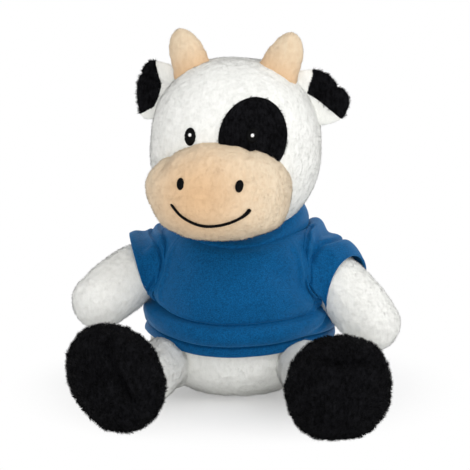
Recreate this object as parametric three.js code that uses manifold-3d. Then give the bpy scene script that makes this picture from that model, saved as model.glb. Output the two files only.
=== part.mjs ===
// A seated plush cow in a pullover, in millimetres: +Z up, the cow faces -Y, its own left is +X.
// The origin is the middle of the flat seat. Each cover, filling, garment panel and trim is its own mesh.
import * as THREE from "three";
import { mergeVertices } from "three/addons/utils/BufferGeometryUtils.js";
import Module from "manifold-3d";

const wasm = await Module();
wasm.setup();

// Clearances and cloth
const gap = 0.3; // between neighbours that touch on the real toy
const runningGap = 0.6; // round the ball-shaped seams that turn
const envelopeGrow = 1.1; // round the bodice, for what moves beside it
const plushWall = 1.2; // pile fabric, backing and pile together
const jerseyWall = 1.0; // the pullover's cloth
const trimThickness = 0.7; // embroidery and the eye patch
const overrun = 5; // how far a cutting solid passes what it cuts
const weldDistance = 1e-4;

// Facets
const facetsRound = 24;
const facetsInside = 16;
const facetsHoof = 20;
const facetsLimb = 13;
const facetsSmall = 12;
const largeRows = 11;
const smallRows = 7;
const socketRows = 9;
const hoofRows = 8;
const capRows = 3;
const flankRows = 3;

// Torso, a pear that stands on a flat seat
const seatRadius = 26;
const seatSag = 0.5; // what the flat seat cuts off
const hipRadius = 40.5;
const hipHeight = 12;
const bellyRadius = 43;
const bellyLowHeight = 28;
const bellyHighHeight = 42;
const chestRadius = 40.6;
const chestHeight = 58;
const shoulderRadius = 34.2;
const shoulderHeight = 69;
const neckShelfRadius = 26;
const neckShelfHeight = 75;
const torsoTopHeight = 79;
const neckBallRadius = 24;
const neckPivot = new THREE.Vector3(0, -2, 68);

// The weight pouch in the seat
const pouchRadius = 27;
const pouchHalfHeight = 9;
const pouchHeight = 8;

// Pullover body, from the hem up to the neck seam
const hemRadius = 45.8;
const hemHeight = 25.5;
const bandRadius = 46.1;
const bandHeight = 31;
const tuckRadius = 45.4;
const tuckHeight = 35.5;
const rollRadius = 48.2;
const rollHeight = 40.5;
const bloomRadius = 47.7;
const bloomHeight = 49;
const yokeRadius = 42.6;
const yokeHeight = 60;
const slopeRadius = 36.4;
const slopeHeight = 70;
const neckSeamRadius = 31.3;
const neckSeamRise = 1.5; // above the shelf of the torso
const neckSeamHeight = neckShelfHeight + neckSeamRise;
const sideRise = 4; // the hem and the roll climb this much from the middle to the sides
const sideSeamDepth = 2; // the side seams lie this far behind the middle

// Collar, a soft standing band that leans on the head and turns with it
const collarRadius = 31.5;
const collarRimRadius = 33.4;
const collarFrontRise = 1.7;
const collarSideRise = 14.5;
const collarNapeLean = 10; // behind the neck the rim leans in over this much
const collarRows = 4;
const collarClearAngle = THREE.MathUtils.degToRad(38); // the chin presses the band down up to here
const collarRiseAngle = THREE.MathUtils.degToRad(34); // and over this much it climbs to its full height
const collarLeanStart = THREE.MathUtils.degToRad(95); // from here on back it leans in

// Head
const headRadii = new THREE.Vector3(40.8, 39, 40.8);
const headCentre = new THREE.Vector3(0, -10, 51); // from the neck pivot
const headYaw = THREE.MathUtils.degToRad(-9);
const headRoll = THREE.MathUtils.degToRad(2);
const muzzleRadii = new THREE.Vector3(33.8, 26, 22.4);
const muzzleForward = 30;
const muzzleDrop = 17.2;
const muzzlePower = 2.5;
const roundPower = 2;

// Horns
const hornRadii = new THREE.Vector3(9.6, 7.2, 18.5);
const hornPower = 2.2;
const hornSpread = 22;
const hornRise = 35.5;
const hornForward = 2;
const hornLean = THREE.MathUtils.degToRad(20);

// Ears
const earRadii = new THREE.Vector3(12.5, 3, 13.5);
const earPower = 2.2;
const earOut = 4; // from the seam to the middle of the ear
const earSeamAngle = THREE.MathUtils.degToRad(33); // up the side of the head
const earSetBack = 8;
const earTilt = THREE.MathUtils.degToRad(12);
const earTipStart = 4;
const earTravel = THREE.MathUtils.degToRad(20);

// Face
const eyeSpread = 14.7;
const eyeRise = 8;
const eyeRadii = new THREE.Vector2(2.9, 3.9);
const glintRadius = 0.9;
const glintRise = 0.9;
const glintShift = 0.4;
const patchRadii = new THREE.Vector2(14.3, 17.6);
const patchSpread = 14.6;
const patchRise = 8;
const nostrilSpread = 14;
const nostrilRise = 5.6; // above the middle of the muzzle
const nostrilRadii = new THREE.Vector2(1.7, 2.5);
const smileRadius = 25.8;
const smileBottom = 11; // below the middle of the muzzle
const smileHalfAngle = THREE.MathUtils.degToRad(45);
const smileWidth = 1.3;

// Arms
const shoulder = new THREE.Vector3(39, -2, 64);
const armRoot = 11;
const armMiddle = 14.2;
const armTip = 13.6;
const armTravel = THREE.MathUtils.degToRad(35);
const armMouthBack = 6; // the open root, behind the shoulder point
const sleeveRoot = 12.3;
const sleeveMiddle = 15.6;
const sleeveCuff = 17.4;
const sleeveReach = 28; // to the widest ring, beyond the cuff
const sleeveMouthBack = 10;

// Legs and hooves
const hip = new THREE.Vector3(25, -23, 11.5);
const legRoot = 10.5;
const legMiddle = 12.4;
const legTip = 15.4;
const legReach = 56;
const legSplay = THREE.MathUtils.degToRad(19.3);
const legPitch = THREE.MathUtils.degToRad(10);
const legTravelIn = THREE.MathUtils.degToRad(-6);
const legTravelOut = THREE.MathUtils.degToRad(10);
const hipRoom = 17; // the ball of room that the swinging leg has in the filling
const hoofRadius = 23.5;
const hoofBackRadius = 19;
const hoofBackHalf = 13.5;
const hoofBackShoulder = 9.5;
const hoofFrontRadius = 22.4;
const hoofFrontShoulder = 7.5;
const soleRadius = 19.8;
const soleStart = 11.4;
const soleCrown = 14.5;
const hoofForward = 72; // from the hip to the widest ring
const hoofSunk = 0.5; // what the flat underside cuts off

// Tail
const tailRoot = new THREE.Vector3(0, 41.8, 17);
const tailRadius = 2.8;
const tailReach = 24;
const tailDrop = THREE.MathUtils.degToRad(14);
const tuftRadius = 5.6;
const tuftHalfLength = 8.5;
const tuftForward = 27;

// The two sides differ a little. An arm points down by its drop and forwards by its lean.
// The cuff faces along its own direction, at its distance from the shoulder.
const sides = [
  {
    name: "left",
    sign: 1,
    drop: THREE.MathUtils.degToRad(41),
    lean: THREE.MathUtils.degToRad(35),
    armReach: 42,
    cuffFacing: new THREE.Vector3(0.83, -0.17, -0.53).normalize(),
    cuffDistance: 15,
    earSeamTilt: THREE.MathUtils.degToRad(28),
  },
  {
    name: "right",
    sign: -1,
    drop: THREE.MathUtils.degToRad(26),
    lean: THREE.MathUtils.degToRad(47),
    armReach: 39.5,
    cuffFacing: new THREE.Vector3(-0.93, -0.17, -0.33).normalize(),
    cuffDistance: 9.5,
    earSeamTilt: THREE.MathUtils.degToRad(8),
  },
];

// Materials
const plush = (colour) => new THREE.MeshStandardMaterial({ color: colour, roughness: 0.95, metalness: 0 });
const whitePlush = () => plush(0xecece6);
const tanPlush = () => plush(0xeed2ac);
const blackPlush = () => plush(0x141416);
const blueJersey = () => plush(0x0d5c98);
const fibreFill = () => plush(0xf6f6f4);
const blackThread = () => new THREE.MeshStandardMaterial({ color: 0x0c0c0e, roughness: 0.6, metalness: 0 });
const whiteThread = () => new THREE.MeshStandardMaterial({ color: 0xffffff, roughness: 0.6, metalness: 0 });

// A closed mesh as a solid.
function solidOf(geometry) {
  const bare = geometry.clone();
  bare.deleteAttribute("normal");
  bare.deleteAttribute("uv");
  const merged = mergeVertices(bare, weldDistance);
  return new wasm.Manifold(
    new wasm.Mesh({
      numProp: 3,
      vertProperties: merged.attributes.position.array,
      triVerts: new Uint32Array(merged.index.array),
    }),
  );
}

// A solid as a named mesh with its material.
function meshOf(name, solid, material) {
  const { vertProperties, triVerts } = solid.getMesh();
  const geometry = new THREE.BufferGeometry();
  geometry.setAttribute("position", new THREE.BufferAttribute(new Float32Array(vertProperties), 3));
  geometry.setIndex(new THREE.BufferAttribute(new Uint32Array(triVerts), 1));
  geometry.computeVertexNormals();
  const mesh = new THREE.Mesh(geometry, material);
  mesh.name = name;
  return mesh;
}

// A solid moved by a matrix.
function moved(solid, matrix) {
  return solid.transform(matrix.elements);
}

// A matrix that turns by three angles and then shifts.
function placing(shift, turn = new THREE.Euler()) {
  const unit = new THREE.Vector3(1, 1, 1);
  return new THREE.Matrix4().compose(shift, new THREE.Quaternion().setFromEuler(turn), unit);
}

// A face that lies inside a cover needs fewer facets than the outer one.
function facetsFor(grow) {
  return grow < 0 ? facetsInside : facetsRound;
}

// A rounded cushion shape with three radii; a higher power is squarer.
function pillow(radii, power, rows, around, grow = 0) {
  const geometry = new THREE.SphereGeometry(1, around, rows);
  geometry.rotateX(Math.PI / 2);
  const spots = geometry.attributes.position;
  const size = radii.clone().addScalar(grow);
  const spot = new THREE.Vector3();
  for (let i = 0; i < spots.count; i += 1) {
    spot.fromBufferAttribute(spots, i);
    const total = Math.abs(spot.x) ** power + Math.abs(spot.y) ** power + Math.abs(spot.z) ** power;
    spot.divideScalar(total ** (1 / power)).multiply(size);
    spots.setXYZ(i, spot.x, spot.y, spot.z);
  }
  return solidOf(geometry);
}

// A ball round a centre.
function ball(radius, centre = new THREE.Vector3(), rows = largeRows, around = facetsRound) {
  const form = pillow(new THREE.Vector3(radius, radius, radius), roundPower, rows, around);
  return moved(form, placing(centre));
}

// A body of revolution about Z from profile points that start and end on the axis, going up.
function lathed(points, around) {
  const geometry = new THREE.LatheGeometry(points, around);
  geometry.rotateX(Math.PI / 2);
  return solidOf(geometry);
}

// The same with a smooth profile through a few radius and height pairs, moved outwards by grow.
function turned(pairs, rows, around, grow = 0) {
  const curve = new THREE.SplineCurve(pairs.map(([radius, height]) => new THREE.Vector2(radius, height)));
  const points = [];
  for (let i = 0; i <= rows; i += 1) {
    const place = curve.getPoint(i / rows);
    const along = curve.getTangent(i / rows);
    const radius = i === 0 || i === rows ? 0 : place.x + grow * along.y;
    points.push(new THREE.Vector2(radius, place.y - grow * along.x));
  }
  return lathed(points, around);
}

// A limb along Z: a round root at the origin, a swelling flank and a round tip at its reach.
function limb({ root, middle, tip, reach }, around, grow = 0) {
  const points = [];
  const arc = (radius, height, from, share) => {
    const angle = from + (share * Math.PI) / 2;
    const cosine = Math.max(0, Math.cos(angle));
    points.push(new THREE.Vector2(radius * cosine, height + radius * Math.sin(angle)));
  };
  for (let i = 0; i <= capRows; i += 1) arc(root + grow, 0, -Math.PI / 2, i / capRows);
  for (let i = 1; i < flankRows; i += 1) {
    const share = i / flankRows;
    const straight = root + (tip - root) * share;
    const swell = (middle - (root + tip) / 2) * 4 * share * (1 - share);
    points.push(new THREE.Vector2(straight + swell + grow, reach * share));
  }
  for (let i = 0; i <= capRows; i += 1) arc(tip + grow, reach, 0, i / capRows);
  points[0].x = 0;
  points[points.length - 1].x = 0;
  return lathed(points, around);
}

// A closed body of stacked rings; spotAt gives the place at a share round and a share up.
// A cutter gets both ends drawn straight out by the stretch.
function ringForm(rows, around, spotAt, stretch = 0) {
  const rings = [];
  for (let row = 0; row <= rows; row += 1) {
    rings.push(Array.from({ length: around }, (_, i) => spotAt(i / around, row / rows)));
  }
  if (stretch > 0) {
    rings.unshift(lifted(rings[0], -stretch));
    rings.push(lifted(rings[rings.length - 1], stretch));
  }
  const last = rings.length - 1;
  const spots = rings.flat();
  const faces = [];
  const low = spots.push(centreOf(rings[0])) - 1;
  const high = spots.push(centreOf(rings[last])) - 1;
  for (let i = 0; i < around; i += 1) {
    const next = (i + 1) % around;
    faces.push(low, next, i);
    faces.push(high, last * around + i, last * around + next);
    for (let row = 0; row < last; row += 1) {
      const [a, b] = [row * around + i, row * around + next];
      faces.push(a, b, b + around);
      faces.push(a, b + around, a + around);
    }
  }
  const geometry = new THREE.BufferGeometry().setFromPoints(spots);
  geometry.setIndex(faces);
  return solidOf(geometry);
}

function lifted(ring, height) {
  return ring.map((spot) => spot.clone().setZ(spot.z + height));
}

function centreOf(spots) {
  const sum = spots.reduce((total, spot) => total.add(spot), new THREE.Vector3());
  return sum.divideScalar(spots.length);
}

// A straight bar with the given outline in X and Z, from the plane Y = 0 forwards to -Y.
function forwardBar(shape, depth) {
  const geometry = new THREE.ExtrudeGeometry(shape, {
    depth,
    bevelEnabled: false,
    curveSegments: facetsSmall / 2,
  });
  geometry.rotateX(Math.PI / 2);
  return solidOf(geometry);
}

function ellipse(centreX, centreZ, radii) {
  return new THREE.Shape().absellipse(centreX, centreZ, radii.x, radii.y, 0, 2 * Math.PI);
}

// A block that fills the side of a plane that faces the given direction.
function halfSpace(direction, start, size) {
  const geometry = new THREE.BoxGeometry(size, size, size);
  geometry.translate(0, 0, size / 2);
  const turn = new THREE.Quaternion().setFromUnitVectors(new THREE.Vector3(0, 0, 1), direction);
  geometry.applyQuaternion(turn);
  geometry.translate(direction.x * start, direction.y * start, direction.z * start);
  return solidOf(geometry);
}


const up = new THREE.Vector3(0, 0, 1);
const down = new THREE.Vector3(0, 0, -1);
const forward = new THREE.Vector3(0, -1, 0);
const outward = new THREE.Vector3(1, 0, 0);
const largest = 2 * (neckPivot.z + headCentre.z + headRadii.z);

// What a solid takes up when it is turned by each of the angles about an axis through the origin.
function swept(solid, angles, axis = up) {
  const turns = angles.map((angle) => moved(solid, new THREE.Matrix4().makeRotationAxis(axis, angle)));
  return turns.reduce((whole, turn) => whole.add(turn));
}

// Frames of the moving bodies
function groupAt(shift, turn = new THREE.Euler()) {
  const group = new THREE.Group();
  group.position.copy(shift);
  group.rotation.copy(turn);
  group.updateMatrix();
  return group;
}

function intoFrame(solid, group) {
  return moved(solid, group.matrix.clone().invert());
}

function mirrored(place, sign) {
  return new THREE.Vector3(place.x * sign, place.y, place.z);
}

function armFrame(side) {
  const group = groupAt(mirrored(shoulder, side.sign));
  const { drop, lean } = side;
  const along = new THREE.Vector3(
    side.sign * Math.cos(drop) * Math.cos(lean),
    -Math.cos(drop) * Math.sin(lean),
    -Math.sin(drop),
  );
  group.quaternion.setFromUnitVectors(up, along);
  group.updateMatrix();
  return group;
}

function legFrame(side) {
  return groupAt(mirrored(hip, side.sign), new THREE.Euler(0, 0, side.sign * legSplay));
}

const headFrame = groupAt(neckPivot, new THREE.Euler(0, headRoll, headYaw, "ZYX"));
const tailFrame = groupAt(tailRoot);

// Forms that several pieces share; each takes how far it is grown.
function torsoForm(grow = 0) {
  const pear = turned(
    [
      [0, -seatSag],
      [seatRadius, 0],
      [hipRadius, hipHeight],
      [bellyRadius, bellyLowHeight],
      [bellyRadius, bellyHighHeight],
      [chestRadius, chestHeight],
      [shoulderRadius, shoulderHeight],
      [neckShelfRadius, neckShelfHeight],
      [0, torsoTopHeight],
    ],
    largeRows,
    facetsFor(grow),
    grow,
  );
  return pear.add(ball(neckBallRadius + grow, neckPivot, largeRows, facetsFor(grow)));
}

function bodiceSpot(turnShare, riseShare, grow) {
  const curve = new THREE.SplineCurve([
    new THREE.Vector2(hemRadius, hemHeight),
    new THREE.Vector2(bandRadius, bandHeight),
    new THREE.Vector2(tuckRadius, tuckHeight),
    new THREE.Vector2(rollRadius, rollHeight),
    new THREE.Vector2(bloomRadius, bloomHeight),
    new THREE.Vector2(yokeRadius, yokeHeight),
    new THREE.Vector2(slopeRadius, slopeHeight),
    new THREE.Vector2(neckSeamRadius, neckSeamHeight),
  ]);
  const place = curve.getPoint(riseShare);
  const along = curve.getTangent(riseShare);
  const angle = 2 * Math.PI * turnShare;
  const radius = place.x + grow * along.y;
  const lift = sideRise * (1 - riseShare) * Math.cos(angle) ** 2;
  const height = place.y - grow * along.x + lift;
  return new THREE.Vector3(radius * Math.cos(angle), radius * Math.sin(angle), height);
}

function bodiceForm(grow = 0, stretch = 0) {
  return ringForm(largeRows, facetsRound, (around, rise) => bodiceSpot(around, rise, grow), stretch);
}

// A coarser one, grown so that its flats still lie outside the bodice.
function bodiceEnvelope() {
  return ringForm(socketRows, facetsInside, (around, rise) => bodiceSpot(around, rise, envelopeGrow));
}

function headForm(grow = 0) {
  return moved(pillow(headRadii, roundPower, largeRows, facetsFor(grow), grow), placing(headCentre));
}

const muzzleCentre = headCentre.clone().add(new THREE.Vector3(0, -muzzleForward, -muzzleDrop));

function muzzleForm(grow = 0) {
  const form = pillow(muzzleRadii, muzzlePower, largeRows, facetsFor(grow), grow);
  return moved(form, placing(muzzleCentre));
}

function armForm(side, grow = 0) {
  return limb({ root: armRoot, middle: armMiddle, tip: armTip, reach: side.armReach }, facetsLimb, grow);
}

function sleeveForm(grow = 0) {
  const sizes = { root: sleeveRoot, middle: sleeveMiddle, tip: sleeveCuff, reach: sleeveReach };
  return limb(sizes, facetsLimb, grow);
}

function legForm(grow = 0) {
  const form = limb({ root: legRoot, middle: legMiddle, tip: legTip, reach: legReach }, facetsLimb, grow);
  return moved(form, placing(new THREE.Vector3(), new THREE.Euler(Math.PI / 2 - legPitch, 0, 0)));
}

function hoofForm(grow = 0) {
  const form = turned(
    [
      [0, -hoofBackHalf],
      [hoofBackRadius, -hoofBackShoulder],
      [hoofRadius, 0],
      [hoofFrontRadius, hoofFrontShoulder],
      [soleRadius, soleStart],
      [0, soleCrown],
    ],
    hoofRows,
    grow < 0 ? facetsInside : facetsHoof,
    grow,
  );
  const centre = new THREE.Vector3(0, -hoofForward, hoofRadius - hoofSunk - hip.z);
  return moved(form, placing(centre, new THREE.Euler(Math.PI / 2, 0, 0)));
}

function tailForm(grow = 0) {
  const form = limb(
    { root: tailRadius, middle: tailRadius, tip: tailRadius, reach: tailReach },
    facetsSmall,
    grow,
  );
  return moved(form, placing(new THREE.Vector3(), new THREE.Euler(-Math.PI / 2 - tailDrop, 0, 0)));
}

function tuftForm(grow = 0) {
  const radii = new THREE.Vector3(tuftRadius, tuftRadius, tuftHalfLength);
  const form = pillow(radii, roundPower, smallRows, facetsSmall, grow);
  const tip = new THREE.Vector3(0, tuftForward * Math.cos(tailDrop), -tuftForward * Math.sin(tailDrop));
  return moved(form, placing(tip, new THREE.Euler(-Math.PI / 2 - tailDrop, 0, 0)));
}

// The room in the torso that the limbs turn in.
function socketOf(side) {
  return ball(sleeveRoot + runningGap, mirrored(shoulder, side.sign), socketRows, facetsInside);
}

function legRoomOf(side) {
  const leg = swept(legForm(2 * gap), [side.sign * legTravelIn, side.sign * legTravelOut]);
  return moved(leg, legFrame(side).matrix);
}

function hipRoomOf(side) {
  return ball(hipRoom, mirrored(hip, side.sign), smallRows, facetsSmall);
}

function without(solid, rooms) {
  return rooms.reduce((left, room) => left.subtract(room), solid);
}

const belowFloor = halfSpace(down, 0, largest);

function makeTorso() {
  const group = new THREE.Group();
  const tail = ball(tailRadius + runningGap, tailRoot, smallRows, facetsSmall);
  const rooms = [tail, ...sides.map(socketOf)];
  const shell = torsoForm().subtract(torsoForm(-plushWall)).subtract(belowFloor);
  const cover = without(shell, [...rooms, ...sides.map(legRoomOf)]);
  const filling = without(torsoForm(-plushWall - gap), [...rooms, ...sides.map(hipRoomOf)]);
  const pouchRadii = new THREE.Vector3(pouchRadius, pouchRadius, pouchHalfHeight);
  const pouchAt = placing(new THREE.Vector3(0, 0, pouchHeight));
  const pouch = (grow) =>
    moved(pillow(pouchRadii, roundPower, smallRows, facetsInside, grow), pouchAt);
  group.add(meshOf("torso_cover", cover, whitePlush()));
  group.add(meshOf("torso_stuffing", filling.subtract(pouch(gap)), fibreFill()));
  group.add(meshOf("bead_bag", filling.intersect(pouch(0)), blueJersey()));
  return group;
}

function makePulloverBody() {
  const group = new THREE.Group();
  const tube = bodiceForm().subtract(bodiceForm(-jerseyWall, overrun));
  const body = without(tube, sides.map(socketOf));
  const front = halfSpace(forward, -sideSeamDepth + gap / 2, largest);
  const back = halfSpace(forward.clone().negate(), sideSeamDepth + gap / 2, largest);
  group.add(meshOf("shirt_front", body.intersect(front), blueJersey()));
  group.add(meshOf("shirt_back", body.intersect(back), blueJersey()));
  return group;
}

// The collar's rim stands up except where the chin presses on it.
function collarSpot(turnShare, riseShare, grow) {
  const angle = 2 * Math.PI * turnShare;
  const chin = new THREE.Vector3(0, -1, 0).applyAxisAngle(up, headYaw);
  const away = Math.acos(THREE.MathUtils.clamp(Math.cos(angle) * chin.x + Math.sin(angle) * chin.y, -1, 1));
  const free = THREE.MathUtils.smoothstep(away, collarClearAngle, collarClearAngle + collarRiseAngle);
  const rise = collarFrontRise + (collarSideRise - collarFrontRise) * free;
  const lean = collarNapeLean * THREE.MathUtils.smoothstep(away, collarLeanStart, Math.PI);
  const radius = collarRadius + (collarRimRadius - collarRadius - lean) * riseShare + grow;
  return new THREE.Vector3(
    neckPivot.x + radius * Math.cos(angle),
    neckPivot.y + radius * Math.sin(angle),
    neckSeamHeight + gap + rise * riseShare,
  );
}

function makeCollar() {
  const form = (grow, stretch) =>
    ringForm(collarRows, facetsRound, (around, rise) => collarSpot(around, rise, grow), stretch);
  const band = form(0, 0).subtract(form(-jerseyWall, overrun));
  const head = moved(headForm(gap).add(muzzleForm(gap)), headFrame.matrix);
  return meshOf("shirt_collar", band.subtract(head), blueJersey());
}

// Trim that lies on a form: a layer of it at the given lift, inside an outline.
function trim(formOf, lift, outline, name, material, lessen) {
  const layer = formOf(lift + trimThickness).subtract(formOf(lift));
  const piece = layer.intersect(forwardBar(outline, largest));
  return meshOf(name, lessen ? piece.subtract(lessen) : piece, material);
}

function makeHead() {
  const group = headFrame;
  const pocket = ball(neckBallRadius + runningGap);
  const cover = headForm().subtract(headForm(-plushWall)).subtract(pocket);
  const filling = headForm(-plushWall - gap).subtract(pocket);
  const muzzle = muzzleForm().subtract(muzzleForm(-plushWall)).subtract(headForm(gap));
  const muzzleFilling = muzzleForm(-plushWall - gap).subtract(headForm(gap));
  group.add(meshOf("head_cover", cover, whitePlush()));
  group.add(meshOf("head_stuffing", filling, fibreFill()));
  group.add(meshOf("muzzle_cover", muzzle, tanPlush()));
  group.add(meshOf("muzzle_stuffing", muzzleFilling, fibreFill()));
  addFace(group);
  for (const side of sides) {
    group.add(makeHorn(side));
    group.add(makeEar(side));
  }
  return group;
}

function addFace(group) {
  const eyeHeight = headCentre.z + eyeRise;
  const patchOutline = ellipse(patchSpread, headCentre.z + patchRise, patchRadii);
  group.add(trim(headForm, gap, patchOutline, "eye_patch", blackPlush(), muzzleForm(gap)));
  for (const side of sides) {
    const lift = side.sign > 0 ? gap + trimThickness + gap : gap;
    const eye = ellipse(side.sign * eyeSpread, eyeHeight, eyeRadii);
    group.add(trim(headForm, lift, eye, `eye_${side.name}`, blackThread()));
    const round = new THREE.Vector2(glintRadius, glintRadius);
    const glint = ellipse(side.sign * eyeSpread + glintShift, eyeHeight + glintRise, round);
    const above = lift + trimThickness + gap;
    group.add(trim(headForm, above, glint, `glint_${side.name}`, whiteThread()));
    const nostril = ellipse(side.sign * nostrilSpread, muzzleCentre.z + nostrilRise, nostrilRadii);
    group.add(trim(muzzleForm, gap, nostril, `nostril_${side.name}`, blackThread(), headForm(gap)));
  }
  group.add(trim(muzzleForm, gap, smileShape(), "mouth_stitch", blackThread(), headForm(gap)));
}

// The smile is a band along an arc.
function smileShape() {
  const centre = muzzleCentre.z - smileBottom + smileRadius;
  const [from, to] = [-Math.PI / 2 - smileHalfAngle, -Math.PI / 2 + smileHalfAngle];
  const shape = new THREE.Shape();
  shape.absarc(0, centre, smileRadius + smileWidth / 2, from, to, false);
  shape.absarc(0, centre, smileRadius - smileWidth / 2, to, from, true);
  return shape;
}

function makeHorn(side) {
  const base = headCentre.clone().add(new THREE.Vector3(side.sign * hornSpread, -hornForward, hornRise));
  const form = pillow(hornRadii, hornPower, largeRows, facetsSmall);
  const horn = moved(form, placing(base, new THREE.Euler(0, side.sign * hornLean, 0)));
  return meshOf(`horn_${side.name}`, horn.subtract(headForm(gap)), tanPlush());
}

// An ear's frame stands at its seam on the side of the head: X out, Z along the seam.
function earFrame(side) {
  const out = side.sign * headRadii.x * Math.cos(earSeamAngle);
  const rise = headRadii.z * Math.sin(earSeamAngle);
  const seam = headCentre.clone().add(new THREE.Vector3(out, earSetBack, rise));
  return groupAt(seam, new THREE.Euler(0, -side.sign * earTilt, 0));
}

function makeEar(side) {
  const group = earFrame(side);
  const centre = outward.clone().multiplyScalar(side.sign * earOut);
  const form = moved(pillow(earRadii, earPower, smallRows, facetsInside), placing(centre));
  const head = swept(intoFrame(headForm(gap), group), [-earTravel, 0, earTravel]);
  const ear = form.subtract(head);
  const direction = new THREE.Vector3(
    side.sign * Math.cos(side.earSeamTilt),
    0,
    Math.sin(side.earSeamTilt),
  );
  const root = ear.subtract(halfSpace(direction, earTipStart, largest));
  const tip = ear.intersect(halfSpace(direction, earTipStart + gap, largest));
  group.add(meshOf(`ear_${side.name}`, root, whitePlush()));
  group.add(meshOf(`ear_tip_${side.name}`, tip, blackPlush()));
  return group;
}

// What an arm stays clear of as it rises: the bodice, but for the round root in its socket.
function armLimits(side, group) {
  const axis = new THREE.Vector3(-Math.sin(side.lean), -side.sign * Math.cos(side.lean), 0);
  axis.applyQuaternion(group.quaternion.clone().invert());
  const angles = [0, -armTravel / 2, -armTravel];
  const root = ball(sleeveRoot, new THREE.Vector3(), socketRows, facetsInside);
  return swept(intoFrame(bodiceEnvelope(), group), angles, axis).subtract(root);
}

function makeArm(side) {
  const group = armFrame(side);
  const torso = armLimits(side, group);
  const behind = halfSpace(down, armMouthBack, largest);
  const cover = armForm(side).subtract(armForm(side, -plushWall)).subtract(torso).subtract(behind);
  const filling = armForm(side, -plushWall - gap).subtract(torso).subtract(behind);
  const facing = side.cuffFacing.clone().applyQuaternion(group.quaternion.clone().invert());
  const tube = sleeveForm().subtract(sleeveForm(-jerseyWall)).subtract(torso);
  const open = tube.subtract(halfSpace(facing, side.cuffDistance, largest));
  const sleeve = open.subtract(halfSpace(down, sleeveMouthBack, largest));
  group.add(meshOf(`arm_cover_${side.name}`, cover, whitePlush()));
  group.add(meshOf(`arm_stuffing_${side.name}`, filling, fibreFill()));
  group.add(meshOf(`sleeve_${side.name}`, sleeve, blueJersey()));
  return group;
}

function makeLeg(side) {
  const group = legFrame(side);
  const floor = intoFrame(belowFloor, group);
  const soleSpace = halfSpace(forward, hoofForward + soleStart, largest);
  const soleRoom = halfSpace(forward, hoofForward + soleStart - gap, largest);
  const cover = legForm().subtract(legForm(-plushWall)).subtract(hoofForm(gap));
  const hoof = hoofForm().subtract(hoofForm(-plushWall)).subtract(legForm(-plushWall)).subtract(soleRoom);
  const filling = legForm(-plushWall - gap).add(hoofForm(-plushWall - gap)).subtract(soleRoom);
  group.add(meshOf(`leg_cover_${side.name}`, cover, whitePlush()));
  group.add(meshOf(`leg_stuffing_${side.name}`, filling, fibreFill()));
  group.add(meshOf(`hoof_${side.name}`, hoof.subtract(floor), blackPlush()));
  group.add(meshOf(`sole_${side.name}`, hoofForm().intersect(soleSpace).subtract(floor), blackPlush()));
  return group;
}

function makeTail() {
  const group = tailFrame;
  group.add(meshOf("tail", tailForm().subtract(tuftForm(gap)), whitePlush()));
  group.add(meshOf("tail_tuft", tuftForm(), blackPlush()));
  return group;
}

const cow = new THREE.Group();
cow.add(makeTorso());
cow.add(makePulloverBody());
cow.add(makeCollar());
cow.add(makeHead());
for (const side of sides) {
  cow.add(makeArm(side));
  cow.add(makeLeg(side));
}
cow.add(makeTail());

export default cow;
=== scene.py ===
"""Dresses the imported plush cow: pile skins, a knitted pullover, embroidery, a pale studio and the camera."""

import logging
import math
from dataclasses import dataclass, field
from enum import Enum
from typing import Callable, Optional, Sequence, Union

import bpy
import numpy as np
from mathutils import Matrix, Vector


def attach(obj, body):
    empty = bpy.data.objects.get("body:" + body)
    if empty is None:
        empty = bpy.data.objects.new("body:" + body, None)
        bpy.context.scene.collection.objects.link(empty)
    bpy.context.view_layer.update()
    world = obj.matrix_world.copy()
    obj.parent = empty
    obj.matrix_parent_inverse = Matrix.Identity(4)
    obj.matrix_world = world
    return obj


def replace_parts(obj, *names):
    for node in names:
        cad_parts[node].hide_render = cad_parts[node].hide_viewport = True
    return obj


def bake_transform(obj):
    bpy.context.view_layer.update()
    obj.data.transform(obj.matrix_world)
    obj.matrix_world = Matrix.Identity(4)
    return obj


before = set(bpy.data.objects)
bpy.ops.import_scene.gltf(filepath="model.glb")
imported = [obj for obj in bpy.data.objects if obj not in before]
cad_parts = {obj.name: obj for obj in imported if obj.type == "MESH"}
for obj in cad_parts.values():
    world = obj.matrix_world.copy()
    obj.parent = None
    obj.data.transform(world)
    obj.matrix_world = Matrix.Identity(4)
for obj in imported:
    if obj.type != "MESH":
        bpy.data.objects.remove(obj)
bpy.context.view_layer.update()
log = logging.getLogger("plush_cow")

# Metres in a millimetre
MM = 0.001
# Odd numbers and bit masks that stir the corner numbers of a grain into random values
STIR_CORNER, STIR_SEED, STIR_AGAIN = (73856093, 19349663, 83492791), 97531, (1274126177, 2246822519)
WORD, HALF_WORD = 0xFFFFFFFF, 0xFFFF
# How often a ray's end is halved, and how many half degrees a ring's curve is smoothed over
HALVINGS, SMOOTHING = 24, 41
# How much of its cell a chart fills, and the margin that it leaves
CELL_SHARE, CELL_EDGE = 0.96, 0.02
Array = np.ndarray
Form = Callable[[Array], Array]
Mask = Callable[[Array], Array]
Comb = Union[Sequence[float], Array, Callable[[Array], Array]]
Line = Sequence[tuple[float, float]]
Colour = tuple[float, float, float]


class Side(Enum):
    """The cow's own left and right; the left side lies along +X."""

    LEFT = "left"
    RIGHT = "right"

    @property
    def sign(self) -> float:
        """+1 for the left side and -1 for the right."""
        return 1.0 if self is Side.LEFT else -1.0


class Slot(Enum):
    """The record's material slots."""

    WHITE = "white_plush"
    TAN = "tan_plush"
    BLACK = "black_plush"
    JERSEY = "blue_jersey"
    POUCH = "pouch_cloth"
    BLACK_THREAD = "black_thread"
    WHITE_THREAD = "white_thread"


def mirrored(spot: Sequence[float], side: Side) -> Array:
    """A left spot, mirrored for the right side."""
    return np.array([side.sign * spot[0], spot[1], spot[2]])


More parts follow.
